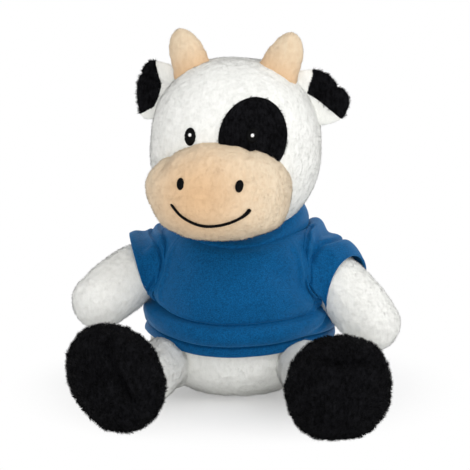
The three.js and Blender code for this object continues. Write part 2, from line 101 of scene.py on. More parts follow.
def unit(rows: Array) -> Array:
    """Scales each row to length one.

    Args:
        rows: Vectors, one to a row.

    Returns:
        The vectors at length one.
    """
    return rows / np.maximum(np.linalg.norm(rows, axis=-1, keepdims=True), 1e-9)


def smooth_step(value: Array, low: float, high: float) -> Array:
    """Rises smoothly from 0 at low to 1 at high.

    Args:
        value: Where it is wanted.
        low: Where the rise starts.
        high: Where it ends.

    Returns:
        The share risen, from 0 to 1.
    """
    share = np.clip((value - low) / (high - low), 0, 1)
    return share * share * (3 - 2 * share)


def bump_at(value: Array, centre: float, width: float) -> Array:
    """A smooth bump of height one.

    Args:
        value: Where it is wanted.
        centre: Where it stands.
        width: Its half width.

    Returns:
        The bump's height.
    """
    return np.exp(-(((value - centre) / width) ** 2))


def turning(axis: Sequence[float], degrees: float) -> Array:
    """The 3 by 3 matrix that turns about an axis."""
    return np.array(Matrix.Rotation(math.radians(degrees), 3, Vector(axis)))


@dataclass(frozen=True)
class Grain:
    """Seeded smooth random values that are fixed in space.

    Attributes:
        scale: The size of one lump, in millimetres.
        seed: Which values.
    """

    scale: float
    seed: int = 1

    def at(self, points: Array) -> Array:
        """Reads the values.

        Args:
            points: Places in millimetres.

        Returns:
            A value from -1 to 1 for each place.
        """
        spot = points / self.scale
        cell = np.floor(spot).astype(np.int64)
        part = spot - cell
        part = part * part * (3 - 2 * part)
        total = np.zeros(len(points))
        for corner in range(8):
            step = np.array([corner & 1, corner >> 1 & 1, corner >> 2 & 1])
            key = cell + step
            x, y, z = (key * STIR_CORNER).T
            mixed = x ^ y ^ z ^ (self.seed * STIR_SEED)
            mixed = ((mixed ^ (mixed >> 13)) * STIR_AGAIN[0]) & WORD
            mixed = ((mixed ^ (mixed >> 15)) * STIR_AGAIN[1]) & WORD
            value = ((mixed ^ (mixed >> 16)) & HALF_WORD) / (HALF_WORD / 2) - 1
            total += value * np.prod(np.where(step, part, 1 - part), axis=1)
        return total

    def flow(self, points: Array) -> Array:
        """Three values for each place, as a vector.

        Args:
            points: Places in millimetres.

        Returns:
            One vector to a row.
        """
        return np.stack([Grain(self.scale, self.seed + 11 * k).at(points) for k in range(3)], axis=1)


@dataclass(frozen=True)
class Place:
    """Where a sub-assembly's own frame lies, in millimetres.

    Attributes:
        origin: Its origin.
        turn: Its 3 by 3 rotation.
    """

    origin: Array
    turn: Array = field(default_factory=lambda: np.eye(3))

    def out(self, points: Array) -> Array:
        """Own points, in the cow's frame."""
        return points @ self.turn.T + self.origin

    def into(self, points: Array) -> Array:
        """The cow's points, in the own frame."""
        return (points - self.origin) @ self.turn

    def below(self, inner: "Place") -> "Place":
        """The place of a frame that is given inside this one."""
        return Place(self.out(inner.origin), self.turn @ inner.turn)


def pillow(centre: Sequence[float], radii: Sequence[float], power: float = 2.0) -> Form:
    """A stuffed form: an ellipsoid, or a squarer one.

    Args:
        centre: Its middle.
        radii: Its half sizes.
        power: 2 for an ellipsoid, and more for a squarer form.

    Returns:
        A function with the signed distance of points from its skin.
    """
    middle, half = np.array(centre, float), np.array(radii, float)

    def distance(points: Array) -> Array:
        """The distance from the skin, negative inside."""
        share = np.abs(points - middle) / half
        size = np.maximum((share**power).sum(axis=1), 1e-12) ** (1 / power)
        slope = np.linalg.norm((share / size[:, None]) ** (power - 1) / half, axis=1)
        return (size - 1) / slope

    return distance


def outlined(centre: Sequence[float], outline: Line, depth: float, power: float) -> Form:
    """A stuffed form cut to an outline: two panels sewn edge to edge and filled.

    Args:
        centre: Its middle; the outline can be seen from it.
        outline: Across and up of each corner of the outline, from the origin.
        depth: Its half thickness.
        power: 2 for a round edge, and more for a squarer one.

    Returns:
        A function with the signed distance of points from its skin.
    """
    middle = np.array(centre, float)
    corners = np.array(outline, float) - middle[[0, 2]]
    angles, reach = np.arctan2(corners[:, 1], corners[:, 0]), np.hypot(corners[:, 0], corners[:, 1])
    order = np.argsort(angles)
    angles, reach = angles[order], reach[order]
    wrapped = np.concatenate([angles - 2 * math.pi, angles, angles + 2 * math.pi])
    far = np.tile(reach, 3)
    fine = np.linspace(-math.pi, math.pi, 361)
    rough = np.interp(fine, wrapped, far)
    kernel = np.hanning(23) / np.hanning(23).sum()
    rounded = np.convolve(np.concatenate([rough[-24:-1], rough, rough[1:24]]), kernel, "same")[23:-23]

    def distance(points: Array) -> Array:
        """The distance from the skin along the line to the middle."""
        away = points - middle
        wide = np.interp(np.arctan2(away[:, 2], away[:, 0]), fine, rounded)
        share = (np.hypot(away[:, 0], away[:, 2]) / wide) ** power + (np.abs(away[:, 1]) / depth) ** power
        size = np.maximum(share, 1e-9) ** (1 / power)
        return np.linalg.norm(away, axis=1) * (1 - 1 / size)

    return distance


def limb(root: float, middle: float, tip: float, reach: float) -> Form:
    """A stuffed limb along +Z from the origin.

    Args:
        root: Its radius at the origin.
        middle: Its radius half way.
        tip: Its radius at the far end.
        reach: How far the middle of the far end lies.

    Returns:
        A function with the signed distance of points from its skin.
    """

    def distance(points: Array) -> Array:
        """The distance from the skin, negative inside."""
        along = np.clip(points[:, 2], 0, reach)
        share = along / reach
        radius = root + (tip - root) * share + (middle - (root + tip) / 2) * 4 * share * (1 - share)
        aside = np.stack([points[:, 0], points[:, 1], points[:, 2] - along], axis=1)
        return np.linalg.norm(aside, axis=1) - radius

    return distance


def lathe(pairs: Line) -> Form:
    """A form turned round the Z axis.

    Args:
        pairs: Radius and height, from the bottom up.

    Returns:
        A function with the signed distance of points from its skin.
    """
    radii, heights = np.array(pairs, float).T
    fine = np.linspace(0, len(pairs) - 1, 160)
    radius, height = spline(radii, fine), spline(heights, fine)

    def distance(points: Array) -> Array:
        """The distance from the skin, negative inside."""
        across = np.hypot(points[:, 0], points[:, 1])
        wide = np.interp(points[:, 2], height, radius)
        return np.maximum(np.maximum(across - wide, heights[0] - points[:, 2]), points[:, 2] - heights[-1])

    return distance


def spline(values: Array, where: Array) -> Array:
    """Reads a smooth curve through evenly numbered values.

    Args:
        values: The values at 0, 1, 2 and so on, one to a row.
        where: The places wanted.

    Returns:
        The curve at those places.
    """
    count = len(values)
    first = np.clip(np.floor(where).astype(int), 0, count - 2)
    share = where - first
    if values.ndim > 1:
        share = share[:, None]
    before, a = values[np.maximum(first - 1, 0)], values[first]
    b, after = values[first + 1], values[np.minimum(first + 2, count - 1)]
    return 0.5 * (
        2 * a
        + (b - before) * share
        + (2 * before - 5 * a + 4 * b - after) * share**2
        + (3 * (a - b) + after - before) * share**3
    )


def to_line(flat: Array, line: Line) -> tuple[Array, Array, Array]:
    """Measures places against a drawn line.

    Args:
        flat: Places, with two coordinates to a row.
        line: The line's corners.

    Returns:
        The distance, the share of the line's length at the nearest spot, and +1 on the line's left or -1 on its right.
    """
    corners = np.array(line, float)
    steps = np.diff(corners, axis=0)
    long = np.hypot(steps[:, 0], steps[:, 1])
    best, share, hand = np.full(len(flat), 1e9), np.zeros(len(flat)), np.zeros(len(flat))
    for k, (start, step) in enumerate(zip(corners[:-1], steps)):
        part = np.clip(((flat - start) @ step) / (step @ step), 0, 1)
        away = flat - start - part[:, None] * step
        far = np.hypot(away[:, 0], away[:, 1])
        nearer = far < best
        share = np.where(nearer, (long[:k].sum() + part * long[k]) / long.sum(), share)
        hand = np.where(nearer, np.sign(step[0] * away[:, 1] - step[1] * away[:, 0]), hand)
        best = np.minimum(best, far)
    return best, share, hand


def ring_values(knots: Sequence[float], values: Sequence[float], angle: Array) -> Array:
    """Reads a smooth curve that runs round a ring.

    Args:
        knots: Angles in degrees, rising, from -180.
        values: The value at each.
        angle: The angles wanted, in radians.

    Returns:
        The values there.
    """
    fine = np.arange(-180, 180, 0.5)
    rough = np.interp(fine, knots, values, period=360)
    kernel = np.hanning(SMOOTHING + 2)[1:-1]
    pad = SMOOTHING // 2
    wrapped = np.concatenate([rough[-pad:], rough, rough[:pad]])
    smooth = np.convolve(wrapped, kernel / kernel.sum(), "valid")
    return np.interp(np.degrees(angle), fine, smooth, period=360)


def cast(form: Form, start: Array, heading: Array, reach: float) -> Array:
    """Finds where rays from inside a form leave it.

    Args:
        form: The form.
        start: Where each ray starts, inside.
        heading: The direction of each ray, at length one.
        reach: A distance that is surely outside.

    Returns:
        The point on the skin for each ray.
    """
    low, high = np.zeros(len(start)), np.full(len(start), float(reach))
    for _ in range(HALVINGS):
        middle = (low + high) / 2
        outside = form(start + heading * middle[:, None]) > 0
        high, low = np.where(outside, middle, high), np.where(outside, low, middle)
    return start + heading * ((low + high) / 2)[:, None]


@dataclass
class Skin:
    """A mesh in millimetres.

    Attributes:
        points: Its corners.
        faces: Its faces, as arrays of corner numbers with one face to a row.
        chart: The place of each face corner on the bake chart, in the order of the faces.
    """

    points: Array
    faces: list[Array]
    chart: Optional[Array] = None

    def triangles(self) -> Array:
        """The faces cut into triangles.

        Returns:
            Three corner numbers to a row.
        """
        parts = []
        for rows in self.faces:
            parts.append(rows[:, :3])
            if rows.shape[1] == 4:
                parts.append(rows[:, [0, 2, 3]])
        return np.concatenate(parts)

    def normals(self) -> Array:
        """The direction that each corner faces.

        Returns:
            One direction to a row.
        """
        tri = self.triangles()
        a, b, c = (self.points[tri[:, k]] for k in range(3))
        face = np.cross(b - a, c - a)
        total = np.zeros_like(self.points)
        for k in range(3):
            np.add.at(total, tri[:, k], face)
        return unit(total)

    def pushed(self, amount: Array) -> "Skin":
        """The skin with each corner moved outward.

        Args:
            amount: How far, for each corner.

        Returns:
            The moved skin.
        """
        return Skin(self.points + self.normals() * np.asarray(amount)[:, None], self.faces, self.chart)

    def moved(self, place: Place) -> "Skin":
        """The skin in the frame that holds the given one."""
        return Skin(place.out(self.points), self.faces, self.chart)

    def kept(self, mask: Array) -> "Skin":
        """The part of the skin where every corner is kept.

        Args:
            mask: True for each corner that is kept.

        Returns:
            The smaller skin.
        """
        number = np.cumsum(mask) - 1
        faces, charts, at = [], [], 0
        for rows in self.faces:
            keep = mask[rows].all(axis=1)
            faces.append(number[rows[keep]])
            if self.chart is not None:
                size = rows.shape[1]
                part = self.chart[at : at + rows.size].reshape(-1, size, 2)
                charts.append(part[keep].reshape(-1, 2))
                at += rows.size
        chart = np.concatenate(charts) if charts else None
        return Skin(self.points[mask], faces, chart)


def ball_net(rows: int) -> tuple[Array, Array, Array]:
    """An even net of quads over a ball.

    Args:
        rows: How many quads lie along each of the six sides.

    Returns:
        The directions of its corners, its faces, and the chart place of each face corner.
    """
    grid = np.tan(np.linspace(-1, 1, rows + 1) * math.pi / 4)
    a, b = np.meshgrid(grid, grid, indexing="ij")
    one = np.ones_like(a)
    sides = [(one, a, b), (-one, b, a), (b, one, a), (a, -one, b), (a, b, one), (b, a, -one)]
    spots = np.concatenate([np.stack([s.ravel() for s in side], axis=1) for side in sides])
    spots = unit(spots)
    i, j = (k.ravel() for k in np.meshgrid(np.arange(rows), np.arange(rows), indexing="ij"))
    wide = rows + 1
    quad = np.stack([i * wide + j, (i + 1) * wide + j, (i + 1) * wide + j + 1, i * wide + j + 1], axis=1)
    corner = np.stack([i, j, i + 1, j, i + 1, j + 1, i, j + 1], axis=1).reshape(-1, 4, 2) / rows
    faces = np.concatenate([quad + k * wide * wide for k in range(6)])
    chart = np.concatenate(
        [(corner * CELL_SHARE + CELL_EDGE + np.array([k % 3, k // 3])) / np.array([3, 2]) for k in range(6)]
    ).reshape(-1, 2)
    _, first, same = np.unique(np.round(spots, 5), axis=0, return_index=True, return_inverse=True)
    return spots[first], same.ravel()[faces], chart


def stuffed(form: Form, centre: Sequence[float], rows: int, reach: float, along: float = 0.0) -> Skin:
    """Wraps a skin round a form.

    Args:
        form: The form, in millimetres.
        centre: A point inside, from which all of the skin can be seen.
        rows: How fine the net is.
        reach: A distance from the centre that is surely outside.
        along: For a limb, the length of the core line that runs from the centre up +Z.

    Returns:
        The skin.
    """
    spots, faces, chart = ball_net(rows)
    start = np.tile(np.array(centre, float), (len(spots), 1))
    heading = spots
    if along:
        wide = reach * 0.5
        outer = spots * np.array([wide, wide, along / 2 + wide]) + np.array([0, 0, along / 2])
        core = np.clip(outer[:, 2], 0, along)
        start[:, 2] += core
        heading = unit(outer - np.stack([0 * core, 0 * core, core], axis=1))
    return Skin(cast(form, start, heading, reach), [faces], chart)


def net(spots: Array, closed: bool = False, looped: bool = False) -> Skin:
    """A skin over a grid of spots.

    Args:
        spots: Rows by columns by three, in millimetres.
        closed: Whether the last column joins the first.
        looped: Whether the last row joins the first.

    Returns:
        The skin.
    """
    rows, columns = spots.shape[:2]
    wide, high = columns if closed else columns - 1, rows if looped else rows - 1
    i, j = (k.ravel() for k in np.meshgrid(np.arange(high), np.arange(wide), indexing="ij"))
    beside, above = (j + 1) % columns, (i + 1) % rows
    quad = np.stack([i * columns + j, i * columns + beside, above * columns + beside, above * columns + j], axis=1)
    corner = np.array([[0, 0], [1, 0], [1, 1], [0, 1]])
    chart = (np.stack([j, i], axis=1)[:, None, :] + corner[None]) / np.array([wide, high])
    return Skin(spots.reshape(-1, 3), [quad], chart.reshape(-1, 2) * 0.98 + 0.01)


def put(name: str, data: bpy.types.ID) -> bpy.types.Object:
    """Places an object in the scene.

    Args:
        name: Its name.
        data: Its mesh, lamp or camera.

    Returns:
        The object.
    """
    made = bpy.data.objects.new(name, data)
    bpy.context.scene.collection.objects.link(made)
    return made


def make_piece(name: str, skin: Skin, material: bpy.types.Material, facing: Optional[Array]) -> bpy.types.Object:
    """Turns a skin into a Blender object.

    Args:
        name: The piece's name.
        skin: Its mesh, in millimetres.
        material: Its finish.
        facing: The direction that light sees at each corner, where it isn't the mesh's own.

    Returns:
        The object.
    """
    mesh = bpy.data.meshes.new(name)
    corners = np.concatenate([rows.ravel() for rows in skin.faces]).astype(np.int32)
    starts, at = [], 0
    for rows in skin.faces:
        starts.append(at + np.arange(len(rows)) * rows.shape[1])
        at += rows.size
    mesh.vertices.add(len(skin.points))
    mesh.vertices.foreach_set("co", (skin.points * MM).astype(np.float32).ravel())
    mesh.loops.add(len(corners))
    mesh.loops.foreach_set("vertex_index", corners)
    mesh.polygons.add(sum(len(rows) for rows in skin.faces))
    mesh.polygons.foreach_set("loop_start", np.concatenate(starts).astype(np.int32))
    mesh.update(calc_edges=True)
    mesh.validate()
    mesh.shade_smooth()
    if skin.chart is not None:
        layer = mesh.uv_layers.new(name="OFBake")
        layer.data.foreach_set("uv", skin.chart.astype(np.float32).ravel())
    if facing is not None:
        mesh.normals_split_custom_set_from_vertices(facing.tolist())
    mesh.materials.append(material)
    return put(name, mesh)


@dataclass(frozen=True)
class Pile:
    """Cut fibres that stand on a backing, as tapered tufts of three sides.

    Attributes:
        density: Tufts to a square millimetre.
        length: How long they are, in millimetres.
        width: How wide they are at the root.
        lean: From 0, upright, to 1, lying flat along the comb.
        swirl: How far the comb wanders.
        tuft: The size of the tufts they gather in.
        gather: How strongly they gather.
        sparkle: How far the light on one blade differs from the next.
        seed: Which random values.
    """

    density: float
    length: float
    width: float
    lean: float
    swirl: float = 0.15
    tuft: float = 1.7
    gather: float = 0.2
    sparkle: float = 0.1
    seed: int = 5

    def on(self, skin: Skin, comb: Comb, keep: Optional[Mask]) -> tuple[Skin, Array]:
        """Grows the blades on a skin.

        Args:
            skin: The skin.
            comb: The direction that the pile is combed in, or a function that gives it at each place.
            keep: Says where pile grows, from 0 to 1, where it isn't everywhere.

        Returns:
            The blades, and the direction that light sees at each corner.
        """
        chance = np.random.default_rng(self.seed)
        tri, normals = skin.triangles(), skin.normals()
        a, b, c = (skin.points[tri[:, k]] for k in range(3))
        area = np.linalg.norm(np.cross(b - a, c - a), axis=1) / 2
        count = int(area.sum() * self.density)
        which = np.searchsorted(np.cumsum(area) / area.sum(), chance.random(count)).clip(0, len(tri) - 1)
        s, t = np.sqrt(chance.random(count))[:, None], chance.random(count)[:, None]
        share = [1 - s, s * (1 - t), s * t]
        root = sum(share[k] * skin.points[tri[which, k]] for k in range(3))
        up = unit(sum(share[k] * normals[tri[which, k]] for k in range(3)))
        if keep is not None:
            grown = chance.random(count) < keep(root)
            root, up = root[grown], up[grown]
        count = len(root)
        combed = comb(root) if callable(comb) else np.array(comb, float)
        way = combed + self.swirl * Grain(self.tuft * 3, self.seed).flow(root)
        way += self.gather * 2 * Grain(self.tuft, self.seed + 3).flow(root)
        way = way - (way * up).sum(axis=1, keepdims=True) * up
        stray = chance.normal(size=(count, 3))
        way += 0.3 * (stray - (stray * up).sum(axis=1, keepdims=True) * up)
        way = unit(way) + 0.12 * chance.normal(size=(count, 3))
        long = self.length * (1 + 0.22 * Grain(self.tuft, self.seed + 7).at(root) + 0.16 * chance.normal(size=count))
        long = np.clip(long, 0.35 * self.length, 1.6 * self.length)[:, None]
        tip = root + unit(up * (1.05 - self.lean) + way * self.lean) * long
        side = unit(np.cross(up, way))
        front = np.cross(up, side)
        low = root - up * 0.25
        ring = [low + self.width / 2 * (math.cos(a) * side + math.sin(a) * front) for a in np.radians([0, 120, 240])]
        corners = np.stack([*ring, tip], axis=1)
        sides = (np.arange(count)[:, None, None] * 4 + np.array([[0, 1, 3], [1, 2, 3], [2, 0, 3]])[None]).reshape(-1, 3)
        across = math.ceil(math.sqrt(count))
        cell = np.stack([np.arange(count) % across, np.arange(count) // across], axis=1)[:, None, :]
        shape = np.array([[0.1, 0.1], [0.9, 0.1], [0.5, 0.9], [0.5, 0.4]])
        chart = ((cell + shape[None]) / across).reshape(-1, 2)[sides.ravel()]
        facing = unit(up + self.sparkle * chance.normal(size=(count, 3)))
        return Skin(corners.reshape(-1, 3), [sides], chart), np.repeat(facing, 4, axis=0)


@dataclass(frozen=True)
class Plush:
    """How a stuffed part feels.

    Attributes:
        fill: How tightly it is stuffed, where it is; not used.
        lift: How far its skin lies outside its form.
        lumps: The height, size and seed of each set of lumps in its skin.
        pile: Its pile.
    """

    fill: Optional[float]
    lift: float
    lumps: tuple[tuple[float, float, int], ...]
    pile: Pile

    def relief(self, points: Array) -> Array:
        """The height of the lumps at each place."""
        return sum(high * Grain(size, seed).at(points) for high, size, seed in self.lumps)

    def skin(self, smooth: Skin) -> Skin:
        """A smooth skin, lifted and given this part's lumps."""
        return smooth.pushed(self.relief(smooth.points) + self.lift)


# What every soft part is made of
PLUSH = {
    "head": Plush(0.85, -0.4, ((0.28, 2.2, 3), (0.35, 9, 4)), Pile(2.4, 1.15, 0.28, 0.76, sparkle=0.16, seed=21)),
    "muzzle": Plush(0.8, -0.35, ((0.22, 1.9, 6), (0.3, 8, 7)), Pile(2.3, 1.2, 0.28, 0.74, sparkle=0.16, seed=22)),
    "eye_patch": Plush(None, 0.0, ((0.2, 2.2, 9),), Pile(3.4, 1.5, 0.34, 0.62, 0.15, 2.2, 0.5, 0.25, 23)),
    "horn_left": Plush(0.85, -0.3, ((0.16, 1.8, 12),), Pile(2.2, 1.0, 0.26, 0.76, seed=32)),
    "horn_right": Plush(0.85, -0.3, ((0.16, 1.8, 12),), Pile(2.2, 1.0, 0.26, 0.76, seed=30)),
    "ear": Plush(0.3, 0.0, (), Pile(2.2, 1.2, 0.28, 0.72, seed=41)),
    "ear_tip": Plush(0.3, 0.0, ((0.2, 2.0, 14),), Pile(3.2, 1.5, 0.34, 0.62, 0.15, 2.2, 0.5, 0.25, 42)),
    "torso": Plush(0.8, -0.45, ((0.3, 2.4, 15),), Pile(2.1, 1.3, 0.3, 0.74, seed=51)),
    "arm": Plush(0.75, -0.3, ((0.3, 2.3, 17), (0.3, 8, 18)), Pile(2.2, 1.3, 0.3, 0.74, seed=52)),
    "leg": Plush(0.8, -0.3, ((0.3, 2.3, 19),), Pile(2.1, 1.3, 0.3, 0.74, seed=53)),
    "hoof": Plush(0.85, -0.4, ((0.5, 2.6, 25), (0.5, 9, 26)), Pile(3.0, 1.9, 0.36, 0.6, 0.5, 2.6, 0.6, 0.7, 54)),
    "tail": Plush(0.7, 0.0, ((0.15, 2, 27),), Pile(2.0, 1.3, 0.28, 0.6, seed=56)),
    "tail_tuft": Plush(0.7, 0.0, ((0.4, 2.2, 28),), Pile(3.0, 2.2, 0.4, 0.55, 0.15, 2.4, 0.6, 0.25, 57)),
}


@dataclass(frozen=True)
class Effects:
    """The shader node groups that several finishes share.

    Attributes:
        pile: Puts out a colour and a height for pile fabric; the colour carries painted shade in the tufts' hollows,
            with random blotches.
        knit: Puts out a colour and a height for fine jersey; the colour is mottled at random and carries painted shade
            where the nap is low.
    """

    pile: bpy.types.NodeTree
    knit: bpy.types.NodeTree


@dataclass
class Wiring:
    """Short ways to place and link nodes in one tree.

    Attributes:
        tree: The node tree.
    """

    tree: bpy.types.NodeTree

    def feed(self, socket: bpy.types.NodeSocket, term: object) -> None:
        """Links an input, or sets it.

        Args:
            socket: The input.
            term: A socket, a number, a place or a colour.
        """
        if isinstance(term, bpy.types.NodeSocket):
            self.tree.links.new(term, socket)
        elif socket.type == "RGBA":
            socket.default_value = (*term, 1)
        else:
            socket.default_value = term

    def node(self, kind: str, inputs: Optional[dict[object, object]] = None, **values: object) -> bpy.types.Node:
        """Places a node.

        Args:
            kind: The node's type.
            inputs: What its inputs are fed, by name or number.
            values: Its settings.

        Returns:
            The node.
        """
        made = self.tree.nodes.new(kind)
        for key, value in values.items():
            setattr(made, key, value)
        for key, term in (inputs or {}).items():
            self.feed(made.inputs[key], term)
        return made

    def place(self) -> bpy.types.NodeSocket:
        """The shaded place, in the object's own frame."""
        return self.node("ShaderNodeTexCoord").outputs["Object"]

    def noise(self, scale: object, detail: float, where: bpy.types.NodeSocket) -> bpy.types.NodeSocket:
        """The value of a noise texture with so many lumps to a metre and so many finer layers."""
        return self.node("ShaderNodeTexNoise", {"Scale": scale, "Detail": detail, "Vector": where}).outputs["Fac"]

    def maths(self, kind: str, *terms: object) -> bpy.types.NodeSocket:
        """The value of a math node of the given operation."""
        return self.node("ShaderNodeMath", dict(enumerate(terms)), operation=kind).outputs[0]

    def times(self, first: object, second: object) -> bpy.types.NodeSocket:
        """The product of two terms."""
        return self.maths("MULTIPLY", first, second)

    def plus(self, first: object, second: object) -> bpy.types.NodeSocket:
        """The sum of two terms."""
        return self.maths("ADD", first, second)

    def weigh(self, first: object, second: object, share: float) -> bpy.types.NodeSocket:
        """The first term times its share, plus the second times the rest."""
        return self.plus(self.times(first, share), self.times(second, 1 - share))

    def fade(self, value: object, low: float, high: float, start: float = 0.0) -> bpy.types.NodeSocket:
        """Rises smoothly to 1.

        Args:
            value: What is looked up.
            low: Where the rise starts.
            high: Where it ends.
            start: The value before the rise.

        Returns:
            The risen value.
        """
        ends = {"Value": value, "From Min": low, "From Max": high, "To Min": start, "To Max": 1.0}
        return self.node("ShaderNodeMapRange", ends, interpolation_type="SMOOTHSTEP").outputs["Result"]

    def shades(self, amount: bpy.types.NodeSocket, stops: Line) -> bpy.types.NodeSocket:
        """Looks a value up on a grey ramp.

        Args:
            amount: What is looked up.
            stops: Place and grey of its two stops.

        Returns:
            The ramp's value.
        """
        made = self.node("ShaderNodeValToRGB", {"Fac": amount})
        for element, (spot, grey) in zip(made.color_ramp.elements, stops):
            element.position = spot
            element.color = (grey, grey, grey, 1)
        return made.outputs["Color"]

    def mix(self, amount: object, first: object, second: object) -> bpy.types.NodeSocket:
        """The mix of two colours, with the amount as the second one's share."""
        return self.node("ShaderNodeMix", {0: amount, 6: first, 7: second}, data_type="RGBA").outputs[2]

    def show(self, amount: object, lit: bpy.types.Node, plain: bpy.types.Node, end: bpy.types.Node) -> None:
        """Lets an output show two shaders.

        Args:
            amount: The second one's share.
            lit: The first.
            plain: The second.
            end: The output node.
        """
        both = {0: amount, 1: lit.outputs[0], 2: plain.outputs[0]}
        self.feed(end.inputs["Surface"], self.node("ShaderNodeMixShader", both).outputs[0])


def open_effect(name: str, numbers: Sequence[str]) -> Wiring:
    """Starts a node group that makes a colour and a height of two colours and some numbers.

    Args:
        name: The group's name.
        numbers: The names of its number inputs.

    Returns:
        The group's wiring.
    """
    group = bpy.data.node_groups.new(name, "ShaderNodeTree")
    given = [("Colour", "Color"), ("Shade", "Color")] + [(label, "Float") for label in numbers]
    for way, sockets in (("INPUT", given), ("OUTPUT", [("Colour", "Color"), ("Height", "Float")])):
        for label, kind in sockets:
            group.interface.new_socket(name=label, in_out=way, socket_type=f"NodeSocket{kind}")
    return Wiring(group)


def pile_effect() -> bpy.types.NodeTree:
    """Builds the group for pile fabric: a colour with painted shade in the tufts' hollows and random blotches, and the
    height of its tufts.

    Returns:
        The group.
    """
    wires = open_effect("pile_effect", ("Tufts", "Mottle"))
    given, place = wires.node("NodeGroupInput").outputs, wires.place()
    combed = wires.node("ShaderNodeVectorMath", {0: place, 1: (1.0, 1.0, 0.5)}, operation="MULTIPLY")
    tuft = wires.noise(given["Tufts"], 3, combed.outputs["Vector"])
    height = wires.weigh(tuft, wires.noise(2600, 2, place), 0.6)
    # Painted shade: the shade colour goes where the tuft height, which also drives the bump, is low
    spots = wires.shades(height, ((0.36, 1.0), (0.56, 0.0)))
    clouds = wires.shades(wires.noise(90, 2, place), ((0.35, 0.0), (0.7, 1.0)))
    amount = wires.times(wires.weigh(spots, clouds, 0.7), given["Mottle"])
    colour = wires.mix(amount, given["Colour"], given["Shade"])
    wires.node("NodeGroupOutput", {"Colour": colour, "Height": height})
    return wires.tree


def knit_effect() -> bpy.types.NodeTree:
    """Builds the group for brushed jersey: fine ribs, nap, and a colour that is mottled at random and carries painted
    shade where the nap is low.

    Returns:
        The group.
    """
    wires = open_effect("knit_effect", ("Ribs",))
    given, place = wires.node("NodeGroupInput").outputs, wires.place()
    parts = wires.node("ShaderNodeSeparateXYZ", {0: place}).outputs
    wander = wires.times(wires.noise(260, 2, place), 0.0016)
    across = wires.plus(wires.plus(parts["X"], parts["Y"]), wander)
    ribs = wires.maths("SINE", wires.times(across, wires.times(given["Ribs"], 6.28)))
    courses = wires.maths("SINE", wires.times(parts["Z"], wires.times(given["Ribs"], 5.2)))
    loops = wires.times(wires.plus(ribs, wires.times(courses, 0.6)), 0.25)
    nap = wires.noise(1900, 3, place)
    # Partly painted shade: the shade colour goes where the nap, which also raises the bump, is low, and partly where
    # the random mottle is low
    amount = wires.shades(wires.weigh(nap, wires.noise(620, 4, place), 0.75), ((0.34, 1.0), (0.62, 0.0)))
    height = wires.plus(wires.plus(loops, 0.5), wires.times(nap, 1.2))
    wires.node("NodeGroupOutput", {"Colour": wires.mix(amount, given["Colour"], given["Shade"]), "Height": height})
    return wires.tree


def tone(red: int, green: int, blue: int) -> Colour:
    """Turns a colour as it looks on screen, from 0 to 255, into a linear one."""
    return tuple((c / 255 / 12.92 if c <= 10 else ((c / 255 + 0.055) / 1.055) ** 2.4) for c in (red, green, blue))


@dataclass(frozen=True)
class Finish:
    """A built material.

    Attributes:
        material: The material.
        slot: The record's material slot that it shows.
    """

    material: bpy.types.Material
    slot: Slot


@dataclass(frozen=True)
class Look:
    """What a fabric puts into its shader.

    Attributes:
        colour: Its colour.
        height: The height of its bump, from 0 to 1.
        depth: What a height of 1 stands for, in millimetres.
        strength: How strong the bump is.
        values: The shader's plain values.
    """

    colour: bpy.types.NodeSocket
    height: bpy.types.NodeSocket
    depth: float
    strength: float
    values: dict[str, object]


@dataclass(frozen=True)
class Fabric:
    """What every kind of fabric has.

    Attributes:
        name: The material's name.
        slot: The record's material slot that it shows.
        colour: Its lit colour.
        shade: The darker colour mixed into it: on pile and jersey it is painted shade in the hollows of the bump, with
            random mottling; on thread it follows random strands.
    """

    name: str
    slot: Slot
    colour: Colour
    shade: Colour

    def look(self, wires: Wiring, effects: Effects) -> Look:
        """Places the fabric's own nodes."""
        raise NotImplementedError

    def finish(self, effects: Effects) -> Finish:
        """Builds the material.

        Args:
            effects: The shared node groups.

        Returns:
            The material with its slot.
        """
        made = bpy.data.materials.new(self.name)
        made.use_nodes = True
        made.diffuse_color = (*self.colour, 1)
        wires = Wiring(made.node_tree)
        look = self.look(wires, effects)
        lift = {"Strength": look.strength, "Distance": look.depth * MM, "Height": look.height}
        normal = wires.node("ShaderNodeBump", lift).outputs["Normal"]
        shader = made.node_tree.nodes["Principled BSDF"]
        for label, value in {"Base Color": look.colour, "Normal": normal, **look.values}.items():
            wires.feed(shader.inputs[label], value)
        return Finish(made, self.slot)


@dataclass(frozen=True)
class TintAndShade:
    """A warmer, darker colour round one place that fades out with distance: partly a tint of the fabric and partly
    painted shade.

    Attributes:
        colour: The colour.
        spot: Its middle, in metres.
        near: The distance from there up to which it is full.
        far: The distance where it ends.
    """

    colour: Colour
    spot: tuple[float, float, float]
    near: float
    far: float


